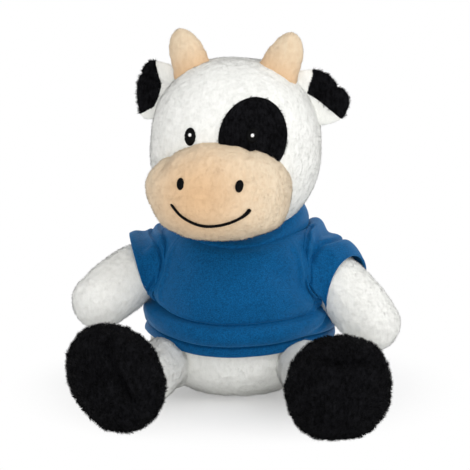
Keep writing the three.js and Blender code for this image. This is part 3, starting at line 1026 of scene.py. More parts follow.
@dataclass(frozen=True)
class PlushFabric(Fabric):
    """Short pile fabric, for a skin and for the blades on it.

    Attributes:
        shade_mottle: How much of the shade shows: painted shade in the hollows, with random blotches.
        tufts: Tufts to a metre.
        sheen: How strongly grazing light catches the fibres.
        shine: How much the fibres reflect.
        tint_and_shade: A warmer, darker colour round one place, partly a tint and partly painted shade.
    """

    shade_mottle: float
    tufts: float = 620.0
    sheen: float = 0.05
    shine: float = 0.15
    tint_and_shade: Optional[TintAndShade] = None

    def look(self, wires: Wiring, effects: Effects) -> Look:
        """Places the fabric's own nodes.

        Args:
            wires: The material's wiring.
            effects: The shared node groups.

        Returns:
            What goes into the shader.
        """
        colour = self.colour
        if self.tint_and_shade is not None:
            away = wires.node("ShaderNodeVectorMath", {0: wires.place(), 1: self.tint_and_shade.spot}, operation="DISTANCE")
            share = wires.fade(away.outputs["Value"], self.tint_and_shade.near, self.tint_and_shade.far)
            colour = wires.mix(share, self.tint_and_shade.colour, self.colour)
        given = {"Colour": colour, "Shade": self.shade, "Mottle": self.shade_mottle, "Tufts": self.tufts}
        made = wires.node("ShaderNodeGroup", given, node_tree=effects.pile).outputs
        values = {"Roughness": 0.85, "Specular IOR Level": self.shine}
        values |= {"Sheen Weight": self.sheen, "Sheen Roughness": 0.5}
        return Look(made["Colour"], made["Height"], 0.4, 0.6, values)


@dataclass(frozen=True)
class JerseyFabric(Fabric):
    """Brushed cotton jersey.

    Attributes:
        ribs: Knitted ribs to a metre.
    """

    ribs: float = 1500.0

    def look(self, wires: Wiring, effects: Effects) -> Look:
        """Places the fabric's own nodes.

        Args:
            wires: The material's wiring.
            effects: The shared node groups.

        Returns:
            What goes into the shader.
        """
        given = {"Colour": self.colour, "Shade": self.shade, "Ribs": self.ribs}
        made = wires.node("ShaderNodeGroup", given, node_tree=effects.knit).outputs
        values = {"Roughness": 0.52, "Specular IOR Level": 0.3, "Specular Tint": (0.08, 0.45, 1.0)}
        values |= {"Sheen Weight": 0.32, "Sheen Roughness": 0.62, "Sheen Tint": (0.07, 0.46, 1.0)}
        return Look(made["Colour"], made["Height"], 0.12, 0.5, values)


@dataclass(frozen=True)
class ThreadFabric(Fabric):
    """Satin-stitched embroidery thread."""

    def look(self, wires: Wiring, effects: Effects) -> Look:
        """Places the thread's own nodes.

        Args:
            wires: The material's wiring.
            effects: The shared node groups.

        Returns:
            What goes into the shader.
        """
        strands = wires.noise(5200, 2, wires.place())
        colour = wires.mix(wires.shades(strands, ((0.4, 0.0), (0.62, 1.0))), self.colour, self.shade)
        return Look(colour, strands, 0.06, 0.5, {"Roughness": 0.45, "Specular IOR Level": 0.06})


class Wardrobe:
    """Every finish of the cow, built once."""

    def __init__(self) -> None:
        """Builds the shared effects and the materials."""
        effects = Effects(pile=pile_effect(), knit=knit_effect())
        # Painted shade: the horns darken and warm towards the head, where they meet it, and pale towards their tips
        base = TintAndShade(tone(222, 183, 142), (0.0, -0.012, 0.119), 0.036, 0.058)
        # Partly painted shade: the muzzle is warmer and darker round a spot in front and towards the cow's right side,
        # away from the key lamp, and paler at its edges; the warm tint is partly the fabric's own
        muzzle_tint_and_shade = TintAndShade(tone(224, 187, 146), (-0.014, -0.066, 0.103), 0.0, 0.038)
        # Each fabric's second colour is painted shade for the hollows of its bump, with random mottling; for the
        # threads it follows random strands
        white = PlushFabric("white_pile", Slot.WHITE, tone(246, 246, 242), tone(206, 208, 201), 0.36)
        tan = PlushFabric("tan_pile", Slot.TAN, tone(226, 207, 179), tone(206, 172, 134), 0.45, tint_and_shade=base)
        muzzle = PlushFabric(
            "muzzle_pile_fabric", Slot.TAN, tone(231, 214, 188), tone(205, 168, 127), 0.36, tint_and_shade=muzzle_tint_and_shade
        )
        black = PlushFabric("black_pile", Slot.BLACK, tone(21, 21, 24), tone(0, 0, 1), 1.4, 800.0, 0.01, 0.07)
        jersey = JerseyFabric("blue_jersey_cloth", Slot.JERSEY, tone(10, 84, 136), tone(3, 50, 90))
        pouch = JerseyFabric("pouch_cotton", Slot.POUCH, tone(40, 70, 110), tone(25, 50, 84), 1100.0)
        black_thread = ThreadFabric("black_satin", Slot.BLACK_THREAD, tone(9, 9, 10), tone(3, 3, 3))
        white_thread = ThreadFabric("white_satin", Slot.WHITE_THREAD, tone(250, 250, 250), tone(226, 226, 226))
        self.white, self.tan, self.muzzle, self.black = (f.finish(effects) for f in (white, tan, muzzle, black))
        self.jersey, self.pouch = jersey.finish(effects), pouch.finish(effects)
        self.black_thread, self.white_thread = black_thread.finish(effects), white_thread.finish(effects)


@dataclass
class Work:
    """What the makers of the cow's parts share.

    Attributes:
        wardrobe: The finishes.
        place: The frame that the skins are given in.
        made: The pieces by name.
    """

    wardrobe: Wardrobe
    place: Place = Place(np.zeros(3))
    made: dict[str, bpy.types.Object] = field(default_factory=dict)

    def add(
        self, name: str, skin: Skin, finish: Finish, body: Optional[str], facing: Optional[Array] = None
    ) -> bpy.types.Object:
        """Makes a piece, places it and lets it ride.

        Args:
            name: The piece's name.
            skin: Its mesh in the maker's frame.
            finish: Its finish.
            body: The body it rides on, where it rides on one alone.
            facing: The direction that light sees, in the maker's frame.

        Returns:
            The piece.
        """
        turned = None if facing is None else facing @ self.place.turn.T
        piece = make_piece(name, skin.moved(self.place), finish.material, turned)
        if body is not None:
            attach(piece, body)
        self.made[name] = piece
        return piece

    def cover(self, name: str, skin: Skin, finish: Finish, body: str, plush: Plush, *nodes: str) -> None:
        """Makes a plush skin.

        Args:
            name: What it is a skin of.
            skin: Its mesh in the maker's frame.
            finish: Its finish.
            body: The body it rides on.
            plush: How it feels; not used.
            nodes: The nodes that it stands for.
        """
        piece = self.add(f"{name}_skin", skin, finish, body)
        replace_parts(piece, *nodes)

    def grow(
        self, name: str, skin: Skin, finish: Finish, body: str, plush: Plush, comb: Comb,
        keep: Optional[Mask] = None, floor: Optional[float] = None,
    ) -> None:
        """Grows pile on a skin.

        Args:
            name: What it grows on.
            skin: That piece's mesh in the maker's frame.
            finish: The pile's finish.
            body: The body it rides on.
            plush: How the part feels.
            comb: The direction that it is combed in, or a function that gives it.
            keep: Says where it grows, where it isn't everywhere.
            floor: The lowest height that it may reach.
        """
        blades, facing = plush.pile.on(skin, comb, keep)
        if floor is not None:
            blades.points[:, 2] = np.maximum(blades.points[:, 2], floor)
        self.add(f"{name}_pile", blades, finish, body, facing)


# The pitch of the satin stitches
STITCH = 0.42
# The eye patch's middle and half sizes, across by up
PATCH_SPOT, PATCH_RADII = (14.9, 60.0), (14.8, 18.4)
# The eyes', glints' and nostrils' half sizes, and how high a glint lies on its eye
EYE_HALF, GLINT_RADII, NOSTRIL_RADII, GLINT_LIFT = 2.75, (0.78, 0.84), (1.75, 2.7), 0.75
# How far inside the head the pile of what is sewn to it may start
PILE_START = 0.6
# Where a horn is sewn on, from the head's middle, and how far it leans out in degrees
HORN_SPOT, HORN_LEAN = (22, -2, 35.5), 20
# How high an ear is sewn on and how far it droops, in degrees, and how far back it sits
EAR_RISE, EAR_DROOP, EAR_BACK = 33, 12, 8
# Outlines as seen from the front, across by up: the muzzle about its centre, the mouth from its height, and a horn and
# an ear about where each is sewn on
MUZZLE_OUTLINE = (
    (-6.0, 24.2), (-15.2, 21.2), (-24.8, 15.6), (-29.8, 11.6), (-33.2, 7.6), (-34.9, 1.8), (-33.6, -4.2), (-30.4, -9.8),
    (-26.2, -16.0), (-18.1, -19.8), (-6.0, -22.2), (-2.2, -22.2), (7.7, -20.8), (19.2, -18.2), (29.4, -13.8),
    (31.8, -7.2), (32.9, 2.4), (30.9, 11.6), (25.8, 17.6), (18.9, 22.0), (10.9, 24.0), (3.8, 24.4),
)
MOUTH_LINE = (
    (-17.2, -3.0), (-12.8, -7.6), (-7.7, -10.5), (-2.6, -11.9), (2.6, -11.7), (8.0, -10.4), (13.2, -8.1),
    (16.8, -5.7), (19.0, -3.0),
)
HORN_OUTLINES = {
    Side.LEFT: (
        (-11.6, -8), (-11.9, 2.8), (-11.4, 7.4), (-9.9, 11.4), (-7.8, 16.2), (-4.2, 19.8), (-0.4, 19.4), (3.2, 16.0),
        (4.6, 13.0), (5.9, 7.7), (6.2, 2.2), (6.0, -8),
    ),
    Side.RIGHT: (
        (-8.6, -8), (-8.4, 1.9), (-8.2, 6.8), (-6.9, 13.4), (-3.6, 18.6), (0.5, 20.2), (3.5, 18.0), (6.7, 13.2),
        (8.4, 7.4), (8.8, 2.4), (9.0, -8),
    ),
}
EAR_OUTLINES = {
    Side.LEFT: (
        (-7, 8.5), (-6, 14.5), (-3.0, 15.4), (3.3, 14.7), (7.7, 12.6), (12.0, 8.0), (13.4, 5.6), (15.6, 4.0),
        (17.3, 0.4), (17.2, -3.8), (15.3, -6.8), (12.6, -9.8), (7.5, -11.2), (2.2, -11.3), (-2, -10.0), (-6.5, -6.0),
        (-8, 0),
    ),
    Side.RIGHT: (
        (4, 9), (0, 12.2), (-6.2, 13.5), (-10.2, 13.2), (-12.1, 12.7), (-14.2, 10.0), (-15.3, 7.3), (-15.8, 3.1),
        (-15.5, -1.3), (-14.2, -6.3), (-12.5, -10.6), (-10.2, -14.5), (-7.8, -15.0), (-3.4, -13.5), (2, -9), (4, 0),
    ),
}
# Where an ear's white root meets its black tip, from the top down
EAR_BORDERS = {
    Side.LEFT: (
        (4.2, 30), (3.3, 14.9), (2.5, 11.7), (0.5, 8.2), (-0.9, 4.6), (3.7, 0.6), (8.6, -4.9), (13.1, -9.8), (22, -19),
    ),
    Side.RIGHT: (
        (-11.5, 30), (-10.0, 12.9), (-7.9, 8.1), (-4.9, 2.0), (-5.1, -3.5), (-5.9, -8.2), (-8.8, -11.0),
        (-11.3, -13.2), (-18, -19),
    ),
}


def raised(form: Form, lift: float) -> Form:
    """A form grown by a lift."""
    return lambda points: form(points) - lift


@dataclass
class HeadWork(Work):
    """The stuffed head with its muzzle, horns, ears, eye patch and embroidery.

    Attributes:
        place: The head's own frame at the neck.
        centre: The head's middle, in its own frame.
        muzzle_centre: The muzzle's middle.
        seat: How far from the middle the ears are sewn on.
    """

    place: Place = Place(np.array([0.0, -2.0, 68.0]), turning((0, 0, 1), -9) @ turning((0, 1, 0), 2))
    centre: tuple[float, float, float] = (0.0, -10.0, 51.0)
    muzzle_centre: tuple[float, float, float] = (0.0, -40.0, 33.8)
    seat: float = 40.8

    def __post_init__(self) -> None:
        """Prepares the forms of the head and the muzzle."""
        x, y, z = self.muzzle_centre
        corners = [(across + x, up + z) for across, up in MUZZLE_OUTLINE]
        self.muzzle_base = outlined((x - 1.0, y, z - 0.5), corners, 26.0, 2.4)
        self.head_form = pillow(self.centre, (40.1, 39.0, 41.8), 2.22)

    def clear_of_head(self, points: Array) -> Array:
        """Which places aren't deep inside the head."""
        return self.head_form(points) > -PILE_START

    def muzzle_form(self, points: Array) -> Array:
        """The muzzle's signed distance, in the head's frame.

        Args:
            points: Places in the head's frame.

        Returns:
            The distance from the muzzle's skin.
        """
        x, z = points[:, 0], points[:, 2] - self.muzzle_centre[2]
        left = bump_at(x + 0.35 * (12 - z), -24.5, 2.4) * smooth_step(z, 5.0, 11.0)
        right = bump_at(x - 0.1 * (12 - z), 15.5, 2.2) * smooth_step(z, 4.0, 12.0)
        return self.muzzle_base(points) + 1.1 * left + 1.2 * right

    def front(self, form: Form, x: Array, z: Array, depth: float, closed: bool = True) -> Skin:
        """Makes a net on the front of a form by looking from inside along -Y.

        Args:
            form: The form.
            x: Places across, as rows by columns.
            z: Heights.
            depth: A depth that is inside.
            closed: Whether the last column joins the first.

        Returns:
            The net, facing forward.
        """
        start = np.stack([x.ravel(), np.full(x.size, depth), z.ravel()], axis=1)
        heading = np.tile(np.array([0.0, -1.0, 0.0]), (x.size, 1))
        skin = net(cast(form, start, heading, 60.0).reshape(*x.shape, 3), closed)
        if skin.normals()[:, 1].mean() > 0:
            return Skin(skin.points, [rows[:, ::-1] for rows in skin.faces], skin.chart)
        return skin

    def in_patch(self, points: Array) -> Array:
        """How far inside the eye patch a place is: 1 at its middle, 0 at its edge, negative outside.

        Args:
            points: Places in the head's frame.

        Returns:
            The share.
        """
        x, z = ((points[:, k] - spot) / half for k, spot, half in zip((0, 2), PATCH_SPOT, PATCH_RADII))
        return np.where(points[:, 1] < self.centre[1], 1 - np.hypot(x, z), -1.0)

    def build_cover(self) -> None:
        """Makes the head's skin and its pile."""
        plush, white = PLUSH["head"], self.wardrobe.white
        skin = plush.skin(stuffed(self.head_form, self.centre, 60, 60))
        self.cover("head", skin, white, "head", plush, "head_cover", "head_stuffing")

        def bare(points: Array) -> Array:
            """Where the white pile grows."""
            return (self.in_patch(points) < 0.0) & (self.muzzle_form(points) > 0.3)

        self.grow("head", skin, white, "head", plush, (0.0, -0.7, -0.75), bare)

    def build_muzzle(self) -> None:
        """Makes the muzzle's skin and its pile."""
        plush, tan = PLUSH["muzzle"], self.wardrobe.muzzle
        skin = plush.skin(stuffed(self.muzzle_form, self.muzzle_centre, 46, 60))
        self.cover("muzzle", skin, tan, "head", plush, "muzzle_cover", "muzzle_stuffing")

        def comb(points: Array) -> Array:
            """Combed down and outward."""
            return np.stack([0.03 * points[:, 0], 0 * points[:, 0] - 0.4, np.full(len(points), -0.8)], axis=1)

        self.grow("muzzle", skin, tan, "head", plush, comb, self.clear_of_head)

    def disc(self, centre: tuple[float, float], radii: tuple[float, float], rings: int, around: int) -> Array:
        """A flat oval net of rings.

        Args:
            centre: Its middle, across and up.
            radii: Its half sizes.
            rings: How many rings.
            around: How many spots to a ring.

        Returns:
            Across, up and the share of the radius, each as rings by around.
        """
        share = np.linspace(0.02, 1, rings)[:, None] * np.ones(around)[None]
        angle = np.ones(rings)[:, None] * np.linspace(0, 2 * math.pi, around, endpoint=False)[None]
        x, z = centre[0] + radii[0] * share * np.cos(angle), centre[1] + radii[1] * share * np.sin(angle)
        return np.stack([x, z, share])

    def build_patch(self) -> None:
        """Makes the black patch round the cow's left eye."""
        plush, black = PLUSH["eye_patch"], self.wardrobe.black
        x, z, share = self.disc(PATCH_SPOT, PATCH_RADII, 34, 120)
        skin = self.front(self.head_form, x, z, self.centre[1])
        skin = skin.pushed(0.9 * (1 - smooth_step(share.ravel(), 0.9, 1.0)) + plush.relief(skin.points))
        self.cover("eye_patch", skin, black, "head", plush, "eye_patch")
        shown = lambda points: self.muzzle_form(points) > 0.2
        self.grow("eye_patch", skin, black, "head", plush, (0.1, 0.0, -1.0), shown)

    def build_oval(
        self, name: str, form: Form, centre: tuple[float, float], radii: tuple[float, float], depth: float,
        lift: float, finish: Finish,
    ) -> None:
        """Makes a satin-stitched oval.

        Args:
            name: The node it stands for.
            form: The skin that it is stitched to.
            centre: Its middle, across and up.
            radii: Its half sizes.
            depth: A depth inside the form.
            lift: How high it stands.
            finish: Its finish.
        """
        x, z, share = self.disc(centre, radii, 16, 72)
        rough = 1 + 0.05 * np.sin(z * 2 * math.pi / STITCH) * share
        skin = self.front(form, centre[0] + (x - centre[0]) * rough, z, depth)
        dome = np.sqrt(np.clip(1 - share.ravel() ** 2, 0, 1))
        strands = 0.07 * np.sin(z.ravel() * 2 * math.pi / STITCH)
        skin = skin.pushed(lift * dome + strands * dome - 0.25 * (1 - dome) + 0.35)
        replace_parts(self.add(f"{name}_stitching", skin, finish, "head"), name)

    def build_mouth(self) -> None:
        """Makes the satin-stitched smile, thicker at the cow's left end."""
        count, across, strands = 220, 9, 300
        share = np.linspace(0, 1, count)
        middle = spline(np.array(MOUTH_LINE), share * (len(MOUTH_LINE) - 1))
        aside = unit(np.gradient(middle, axis=0)) @ np.array([[0.0, 1.0], [-1.0, 0.0]])
        taper = 0.5 + 0.5 * np.minimum(1, np.minimum(share, 1 - share) * 30)
        half = (0.62 + 0.3 * smooth_step(share, 0.75, 0.97)) * taper
        half = half * (1 + 0.12 * np.sin(share * strands) * (0.4 + 0.6 * smooth_step(share, 0.6, 0.9)))
        offset = np.linspace(-1, 1, across)
        spread = middle[:, None, :] + aside[:, None, :] * (half[:, None] * offset[None])[:, :, None]
        x, z = spread[..., 0], spread[..., 1] + self.muzzle_centre[2]
        skin = self.front(self.muzzle_form, x, z, self.muzzle_centre[1], closed=False)
        dome = np.sqrt(np.clip(1 - (np.ones(count)[:, None] * offset[None]).ravel() ** 2, 0, 1))
        skin = skin.pushed(0.75 * dome + 0.08 * np.sin(np.repeat(share, across) * strands) + 0.1)
        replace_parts(self.add("mouth_stitching", skin, self.wardrobe.black_thread, "head"), "mouth_stitch")

    def build_face(self) -> None:
        """Makes the eyes, glints, nostrils and mouth."""
        height, inside = self.centre[2] + 8, self.centre[1]
        black, white = self.wardrobe.black_thread, self.wardrobe.white_thread
        spots = {
            Side.LEFT: (1.2, (15.6, height + 2.9), 3.4, 0.1, (13.8, self.muzzle_centre[2] + 7.2)),
            Side.RIGHT: (0.0, (-13.4, height + 0.4), 4.1, 0.9, (-13.1, self.muzzle_centre[2] + 6.5)),
        }
        for side, (lift, (x, z), tall, above, nostril) in spots.items():
            eye, lit = raised(self.head_form, lift), raised(self.head_form, lift + GLINT_LIFT)
            self.build_oval(f"eye_{side.value}", eye, (x, z), (EYE_HALF, tall), inside, 0.7, black)
            self.build_oval(f"glint_{side.value}", lit, (x + 0.1, z + above), GLINT_RADII, inside, 0.5, white)
            self.build_oval(
                f"nostril_{side.value}", self.muzzle_form, nostril, NOSTRIL_RADII, self.muzzle_centre[1], 0.6, black
            )
        self.build_mouth()

    def build_horn(self, side: Side) -> None:
        """Makes a horn.

        Args:
            side: Which horn.
        """
        name, tan, middle = f"horn_{side.value}", self.wardrobe.tan, (side.sign * -2.0, 0, 4)
        plush = PLUSH[name]
        spot = np.array(self.centre) + mirrored(HORN_SPOT, side)
        own = Place(spot, turning((0, 1, 0), side.sign * HORN_LEAN))
        skin = plush.skin(stuffed(outlined(middle, HORN_OUTLINES[side], 7.0, 2.1), middle, 30, 30)).moved(own)
        self.cover(name, skin, tan, "head", plush, name)
        self.grow(name, skin, tan, "head", plush, (side.sign * 0.4, 0.0, 1.0), self.clear_of_head)

    def build_ear(self, side: Side) -> None:
        """Makes an ear with its white root and black tip.

        Args:
            side: Which ear.
        """
        name, tip_name = f"ear_{side.value}", f"ear_tip_{side.value}"
        white, black = self.wardrobe.white, self.wardrobe.black
        rise, middle = math.radians(EAR_RISE), (side.sign * 5, 0, 0)
        spot = (self.seat * math.cos(rise), EAR_BACK, self.seat * math.sin(rise))
        own = Place(np.array(self.centre) + mirrored(spot, side), turning((0, 1, 0), -side.sign * EAR_DROOP))

        def beyond(points: Array) -> Array:
            """How far places lie on the black side of the ear's border line."""
            far, _, hand = to_line(points[:, [0, 2]], EAR_BORDERS[side])
            return hand * far * side.sign

        skin = stuffed(outlined(middle, EAR_OUTLINES[side], 2.6, 2.0), middle, 44, 30)
        line = beyond(skin.points)
        x, y, z = skin.points.T
        curl = 0.05 * np.abs(x - side.sign * 5) ** 1.6 + 0.02 * np.abs(z) ** 1.8
        skin = Skin(np.stack([x, y - curl, z], axis=1), skin.faces, skin.chart)
        x, y, z = skin.points.T
        fold = bump_at((z - 4.2) * 0.9 - (x * side.sign - 7) * 0.15, 0.0, 1.1) * (y < 0)
        skin = skin.pushed(-0.9 * fold * smooth_step(x * side.sign, -2, 3))
        root = skin.kept(line < 0.8).moved(own)
        thick = np.where(line > -0.3, 0.35, -0.2) + PLUSH["ear_tip"].relief(skin.points)
        tip = skin.pushed(thick).kept(line > -0.5).moved(own)
        self.cover(name, root, white, name, PLUSH["ear"], name)
        self.cover(tip_name, tip, black, name, PLUSH["ear_tip"], tip_name)
        outward = own.turn @ np.array([side.sign, 0, 0.2])
        plain = lambda p: (self.head_form(p) > -0.5) & (beyond(own.into(p)) < -0.8)
        self.grow(name, root, white, name, PLUSH["ear"], outward, plain)
        self.grow(tip_name, tip, black, name, PLUSH["ear_tip"], outward)

    def build(self) -> dict[str, bpy.types.Object]:
        """Builds the whole head.

        Returns:
            Its pieces by name.
        """
        self.build_cover()
        self.build_muzzle()
        self.build_patch()
        self.build_face()
        for make in (self.build_horn, self.build_ear):
            for side in Side:
                make(side)
        return self.made


# The seam across each foot as seen from the front, across by up
HOOF_SEAMS = {
    Side.LEFT: ((-16, 20), (-13, 17.4), (-7, 14.6), (0, 13.4), (6, 13.7), (12, 15), (17, 18)),
    Side.RIGHT: ((0, 21), (2.7, 16.5), (6, 10.8), (9, 5), (13, -2.5), (15.5, -8), (15.5, -14)),
}
# The body's radius by height
TORSO_LINE = ((22, 0), (38.6, 11), (41.8, 28), (38.6, 39), (38.6, 50), (38.2, 60), (33.4, 69), (26, 75), (10, 79))
UPWARD = np.array([0, 0, 1.0])
# Where the left arm starts
ARM_ROOT = (39.0, -2.0, 64.0)
# Where the left leg starts, how many degrees it points outward, and its length
LEG_ROOT, LEG_SPLAY, LEG_LENGTH = (25.0, -23.0, 11.5), 19.3, 56
# Where the tail starts, how many degrees it turns about X from upright, and its length and radius
TAIL_ROOT, TAIL_TURN, TAIL_LENGTH, TAIL_RADIUS = (0, 41.8, 17.0), -104, 24, 2.8
# Each foot's middle from its leg's start
HOOF_MIDDLES = {Side.LEFT: (1.4, -74.5, 11.3), Side.RIGHT: (0.0, -72.0, 11.5)}


@dataclass(frozen=True)
class Arm:
    """How an arm hangs.

    Attributes:
        drop: How far it hangs below level, in degrees.
        lean: How far it points forward.
        reach: Its length to the middle of its end.
    """

    drop: float
    lean: float
    reach: float

    def place(self, side: Side) -> Place:
        """Where the arm's frame lies, with +Z along the arm.

        Args:
            side: Which arm.

        Returns:
            The place.
        """
        drop, lean = math.radians(self.drop), math.radians(self.lean)
        level = math.cos(drop)
        along = Vector((side.sign * level * math.cos(lean), -level * math.sin(lean), -math.sin(drop)))
        turn = np.array(Vector((0, 0, 1)).rotation_difference(along).to_matrix())
        return Place(mirrored(ARM_ROOT, side), turn)


ARMS = {Side.LEFT: Arm(41, 35, 42.0), Side.RIGHT: Arm(26, 47, 38.7)}


@dataclass
class BodyWork(Work):
    """The stuffed torso, the arms, the legs with their hooves, and the tail."""

    def build_torso(self) -> None:
        """Makes the white skin of the body."""
        plush, white = PLUSH["torso"], self.wardrobe.white
        skin = plush.skin(stuffed(lathe(TORSO_LINE), (0, 0, 36), 50, 80))
        skin.points[:, 2] = np.maximum(skin.points[:, 2], 0.15)
        self.cover("torso", skin, white, "torso", plush, "torso_cover", "torso_stuffing")
        low = lambda p: (p[:, 2] < 34) & (p[:, 2] > 1.2)
        self.grow("torso", skin, white, "torso", plush, -UPWARD, low)

    def build_arm(self, side: Side) -> None:
        """Makes an arm.

        Args:
            side: Which arm.
        """
        own, reach, name = ARMS[side].place(side), ARMS[side].reach, f"arm_{side.value}"
        plush, white = PLUSH["arm"], self.wardrobe.white
        skin = plush.skin(stuffed(limb(9.6, 14.0, 13.4, reach), (0, 0, 0), 36, 30, along=reach)).moved(own)
        self.cover(name, skin, white, name, plush, f"arm_cover_{side.value}", f"arm_stuffing_{side.value}")
        self.grow(name, skin, white, name, plush, own.turn @ UPWARD, lambda p: own.into(p)[:, 2] > 8)

    def build_leg(self, side: Side) -> None:
        """Makes a leg and its hoof.

        Args:
            side: Which leg.
        """
        own = Place(mirrored(LEG_ROOT, side), turning((0, 0, 1), side.sign * LEG_SPLAY))
        name, plush, white = f"leg_{side.value}", PLUSH["leg"], self.wardrobe.white
        skin = stuffed(limb(13.4, 13.0, 15.2, LEG_LENGTH), (0, 0, 0), 34, 34, along=LEG_LENGTH)
        back = 1 - smooth_step(skin.points[:, 2], 0, 44)
        skin.points[:, :2] += back[:, None] * np.array([side.sign * 5.2, 5.8])
        skin = plush.skin(skin).moved(Place(np.zeros(3), turning((1, 0, 0), 80))).moved(own)
        self.cover(name, skin, white, name, plush, f"leg_cover_{side.value}", f"leg_stuffing_{side.value}")
        self.grow(name, skin, white, name, plush, own.turn @ np.array([0, -1.0, 0]), lambda p: p[:, 2] > 1.0)
        self.build_hoof(side, own)

    def hoof_form(self, side: Side) -> Form:
        """A foot's form, with the sole facing +Z, up along +Y and the leg's left along +X.

        Args:
            side: Which foot.

        Returns:
            The form.
        """
        if side is Side.LEFT:
            return pillow((0, 0, -1.0), (23.7, 23.7, 14.5), 2.12)
        base = pillow((0, 0, -1.0), (22.4, 22.4, 14.5), 2.15)

        def distance(points: Array) -> Array:
            """The distance, with the lower outer corner drawn in and the upper one stuffed out."""
            angle = np.degrees(np.arctan2(points[:, 1], points[:, 0]))
            bulge = lambda heading, width: bump_at((angle - heading + 180) % 360 - 180, 0, width)
            change = 4.4 * bulge(126, 34) + 2.0 * bulge(85, 26) - 3.0 * bulge(-133, 30)
            return base(points) - change * smooth_step(np.hypot(points[:, 0], points[:, 1]), 5, 18)

        return distance

    def build_hoof(self, side: Side, own: Place) -> None:
        """Makes a black foot with its round sole.

        Args:
            side: Which leg.
            own: The leg's frame.
        """
        name, body, plush, black = f"hoof_{side.value}", f"leg_{side.value}", PLUSH["hoof"], self.wardrobe.black
        middle = np.array(HOOF_MIDDLES[side])
        skin = stuffed(self.hoof_form(side), (0, 0, 0), 50, 40)
        far, share, hand = to_line(skin.points[:, :2], HOOF_SEAMS[side])
        front = smooth_step(skin.points[:, 2], 0.0, 6.0)
        back = np.where(hand * side.sign > 0, 0.0, 1.0)
        groove = 2.8 * bump_at(far, 0, 1.5) * np.sin(np.clip(share * 1.1, 0, 1) * math.pi) ** 0.5 * front
        skin = skin.pushed(plush.relief(skin.points) - groove + plush.lift + 0.3 * back)
        skin = skin.moved(Place(middle, turning((1, 0, 0), 90))).moved(own)
        skin.points[:, 2] = np.maximum(skin.points[:, 2], 0.3)
        self.cover(name, skin, black, body, plush, name, f"sole_{side.value}")
        heart = own.out(middle[None])[0]
        away = lambda p: unit(p - heart) * 0.9 + np.array([0, 0, 0.35])
        self.grow(name, skin, black, body, plush, away, lambda p: p[:, 2] > 0.6, floor=0.05)

    def build_tail(self) -> None:
        """Makes the tail and its tuft."""
        own = Place(np.array(TAIL_ROOT), turning((1, 0, 0), TAIL_TURN))
        tail = limb(TAIL_RADIUS, TAIL_RADIUS, TAIL_RADIUS, TAIL_LENGTH)
        tail = stuffed(tail, (0, 0, 0), 14, 7, along=TAIL_LENGTH)
        tuft = stuffed(pillow((0, 0, 27), (5.4, 5.4, 8.3)), (0, 0, 27), 16, 14)
        for name, smooth, finish in (("tail", tail, self.wardrobe.white), ("tail_tuft", tuft, self.wardrobe.black)):
            skin = PLUSH[name].skin(smooth).moved(own)
            self.cover(name, skin, finish, "tail", PLUSH[name], name)
            self.grow(name, skin, finish, "tail", PLUSH[name], own.turn @ UPWARD)

    def build(self) -> dict[str, bpy.types.Object]:
        """Builds the whole body.

        Returns:
            Its pieces by name.
        """
        self.build_torso()
        for side in Side:
            self.build_arm(side)
            self.build_leg(side)
        self.build_tail()
        return self.made


# The pullover's width: a row for each ring from the hem up, with the radius at each of these angles round the body
KNOTS = (-180, -147, -120, -90, -60, -30, 0, 90)
RADII = (
    (44.6, 45.0, 45.6, 45.9, 45.9, 46.2, 46.3, 45.0),
    (44.6, 45.4, 46.1, 46.4, 46.4, 46.6, 46.6, 45.3),
    (43.6, 45.0, 46.1, 46.4, 46.4, 46.4, 46.3, 45.2),
    (41.7, 43.6, 45.0, 45.4, 45.3, 45.0, 45.0, 44.5),
    (42.7, 45.5, 46.7, 47.2, 47.1, 46.6, 46.2, 45.4),
    (43.9, 47.3, 48.5, 49.1, 48.8, 47.8, 46.8, 46.0),
    (44.6, 48.5, 49.6, 50.0, 49.5, 48.1, 46.8, 46.2),
    (44.3, 47.4, 48.6, 48.9, 48.4, 47.1, 46.2, 46.0),
    (42.8, 41.0, 44.8, 46.2, 46.0, 44.4, 44.0, 45.0),
    (42.8, 44.6, 47.3, 47.9, 47.6, 45.4, 44.2, 45.2),
    (42.6, 46.4, 47.9, 48.3, 47.5, 45.2, 43.8, 45.0),
    (42.2, 45.2, 46.4, 46.9, 45.6, 43.6, 42.6, 44.0),
    (41.0, 42.8, 43.6, 44.2, 43.9, 42.4, 41.0, 42.0),
    (38.8, 39.6, 40.2, 40.4, 40.9, 40.0, 38.4, 39.0),
    (36.0, 36.6, 37.2, 37.4, 38.0, 37.4, 36.0, 36.4),
    (33.4, 33.6, 33.9, 34.0, 33.9, 33.6, 33.4, 33.4),
)
# Heights of edges by angle round the body
HEM = (
    (-180, -165, -150, -138, -110, -90, -68, -45, -20, 0, 60, 120),
    (28.6, 29.6, 29.4, 27.7, 24.9, 24.8, 25.6, 27.4, 26.6, 26.0, 27.5, 28.4),
)
DIP = (
    (-180, -160, -147, -132, -120, -105, -90, -64, -48, -25, 0, 90),
    (45, 45, 44.6, 42.6, 41.2, 40.2, 40, 41.3, 41.6, 43, 43.5, 43),
)
COLLAR_TOP = (
    (-180, -150, -130, -110, -90, -75, -60, -44, -32, -20, -5, 20, 90, 150),
    (88, 85, 81.5, 79.0, 78.2, 78.4, 80.2, 84.6, 90.2, 94.2, 92.5, 90, 90, 90),
)
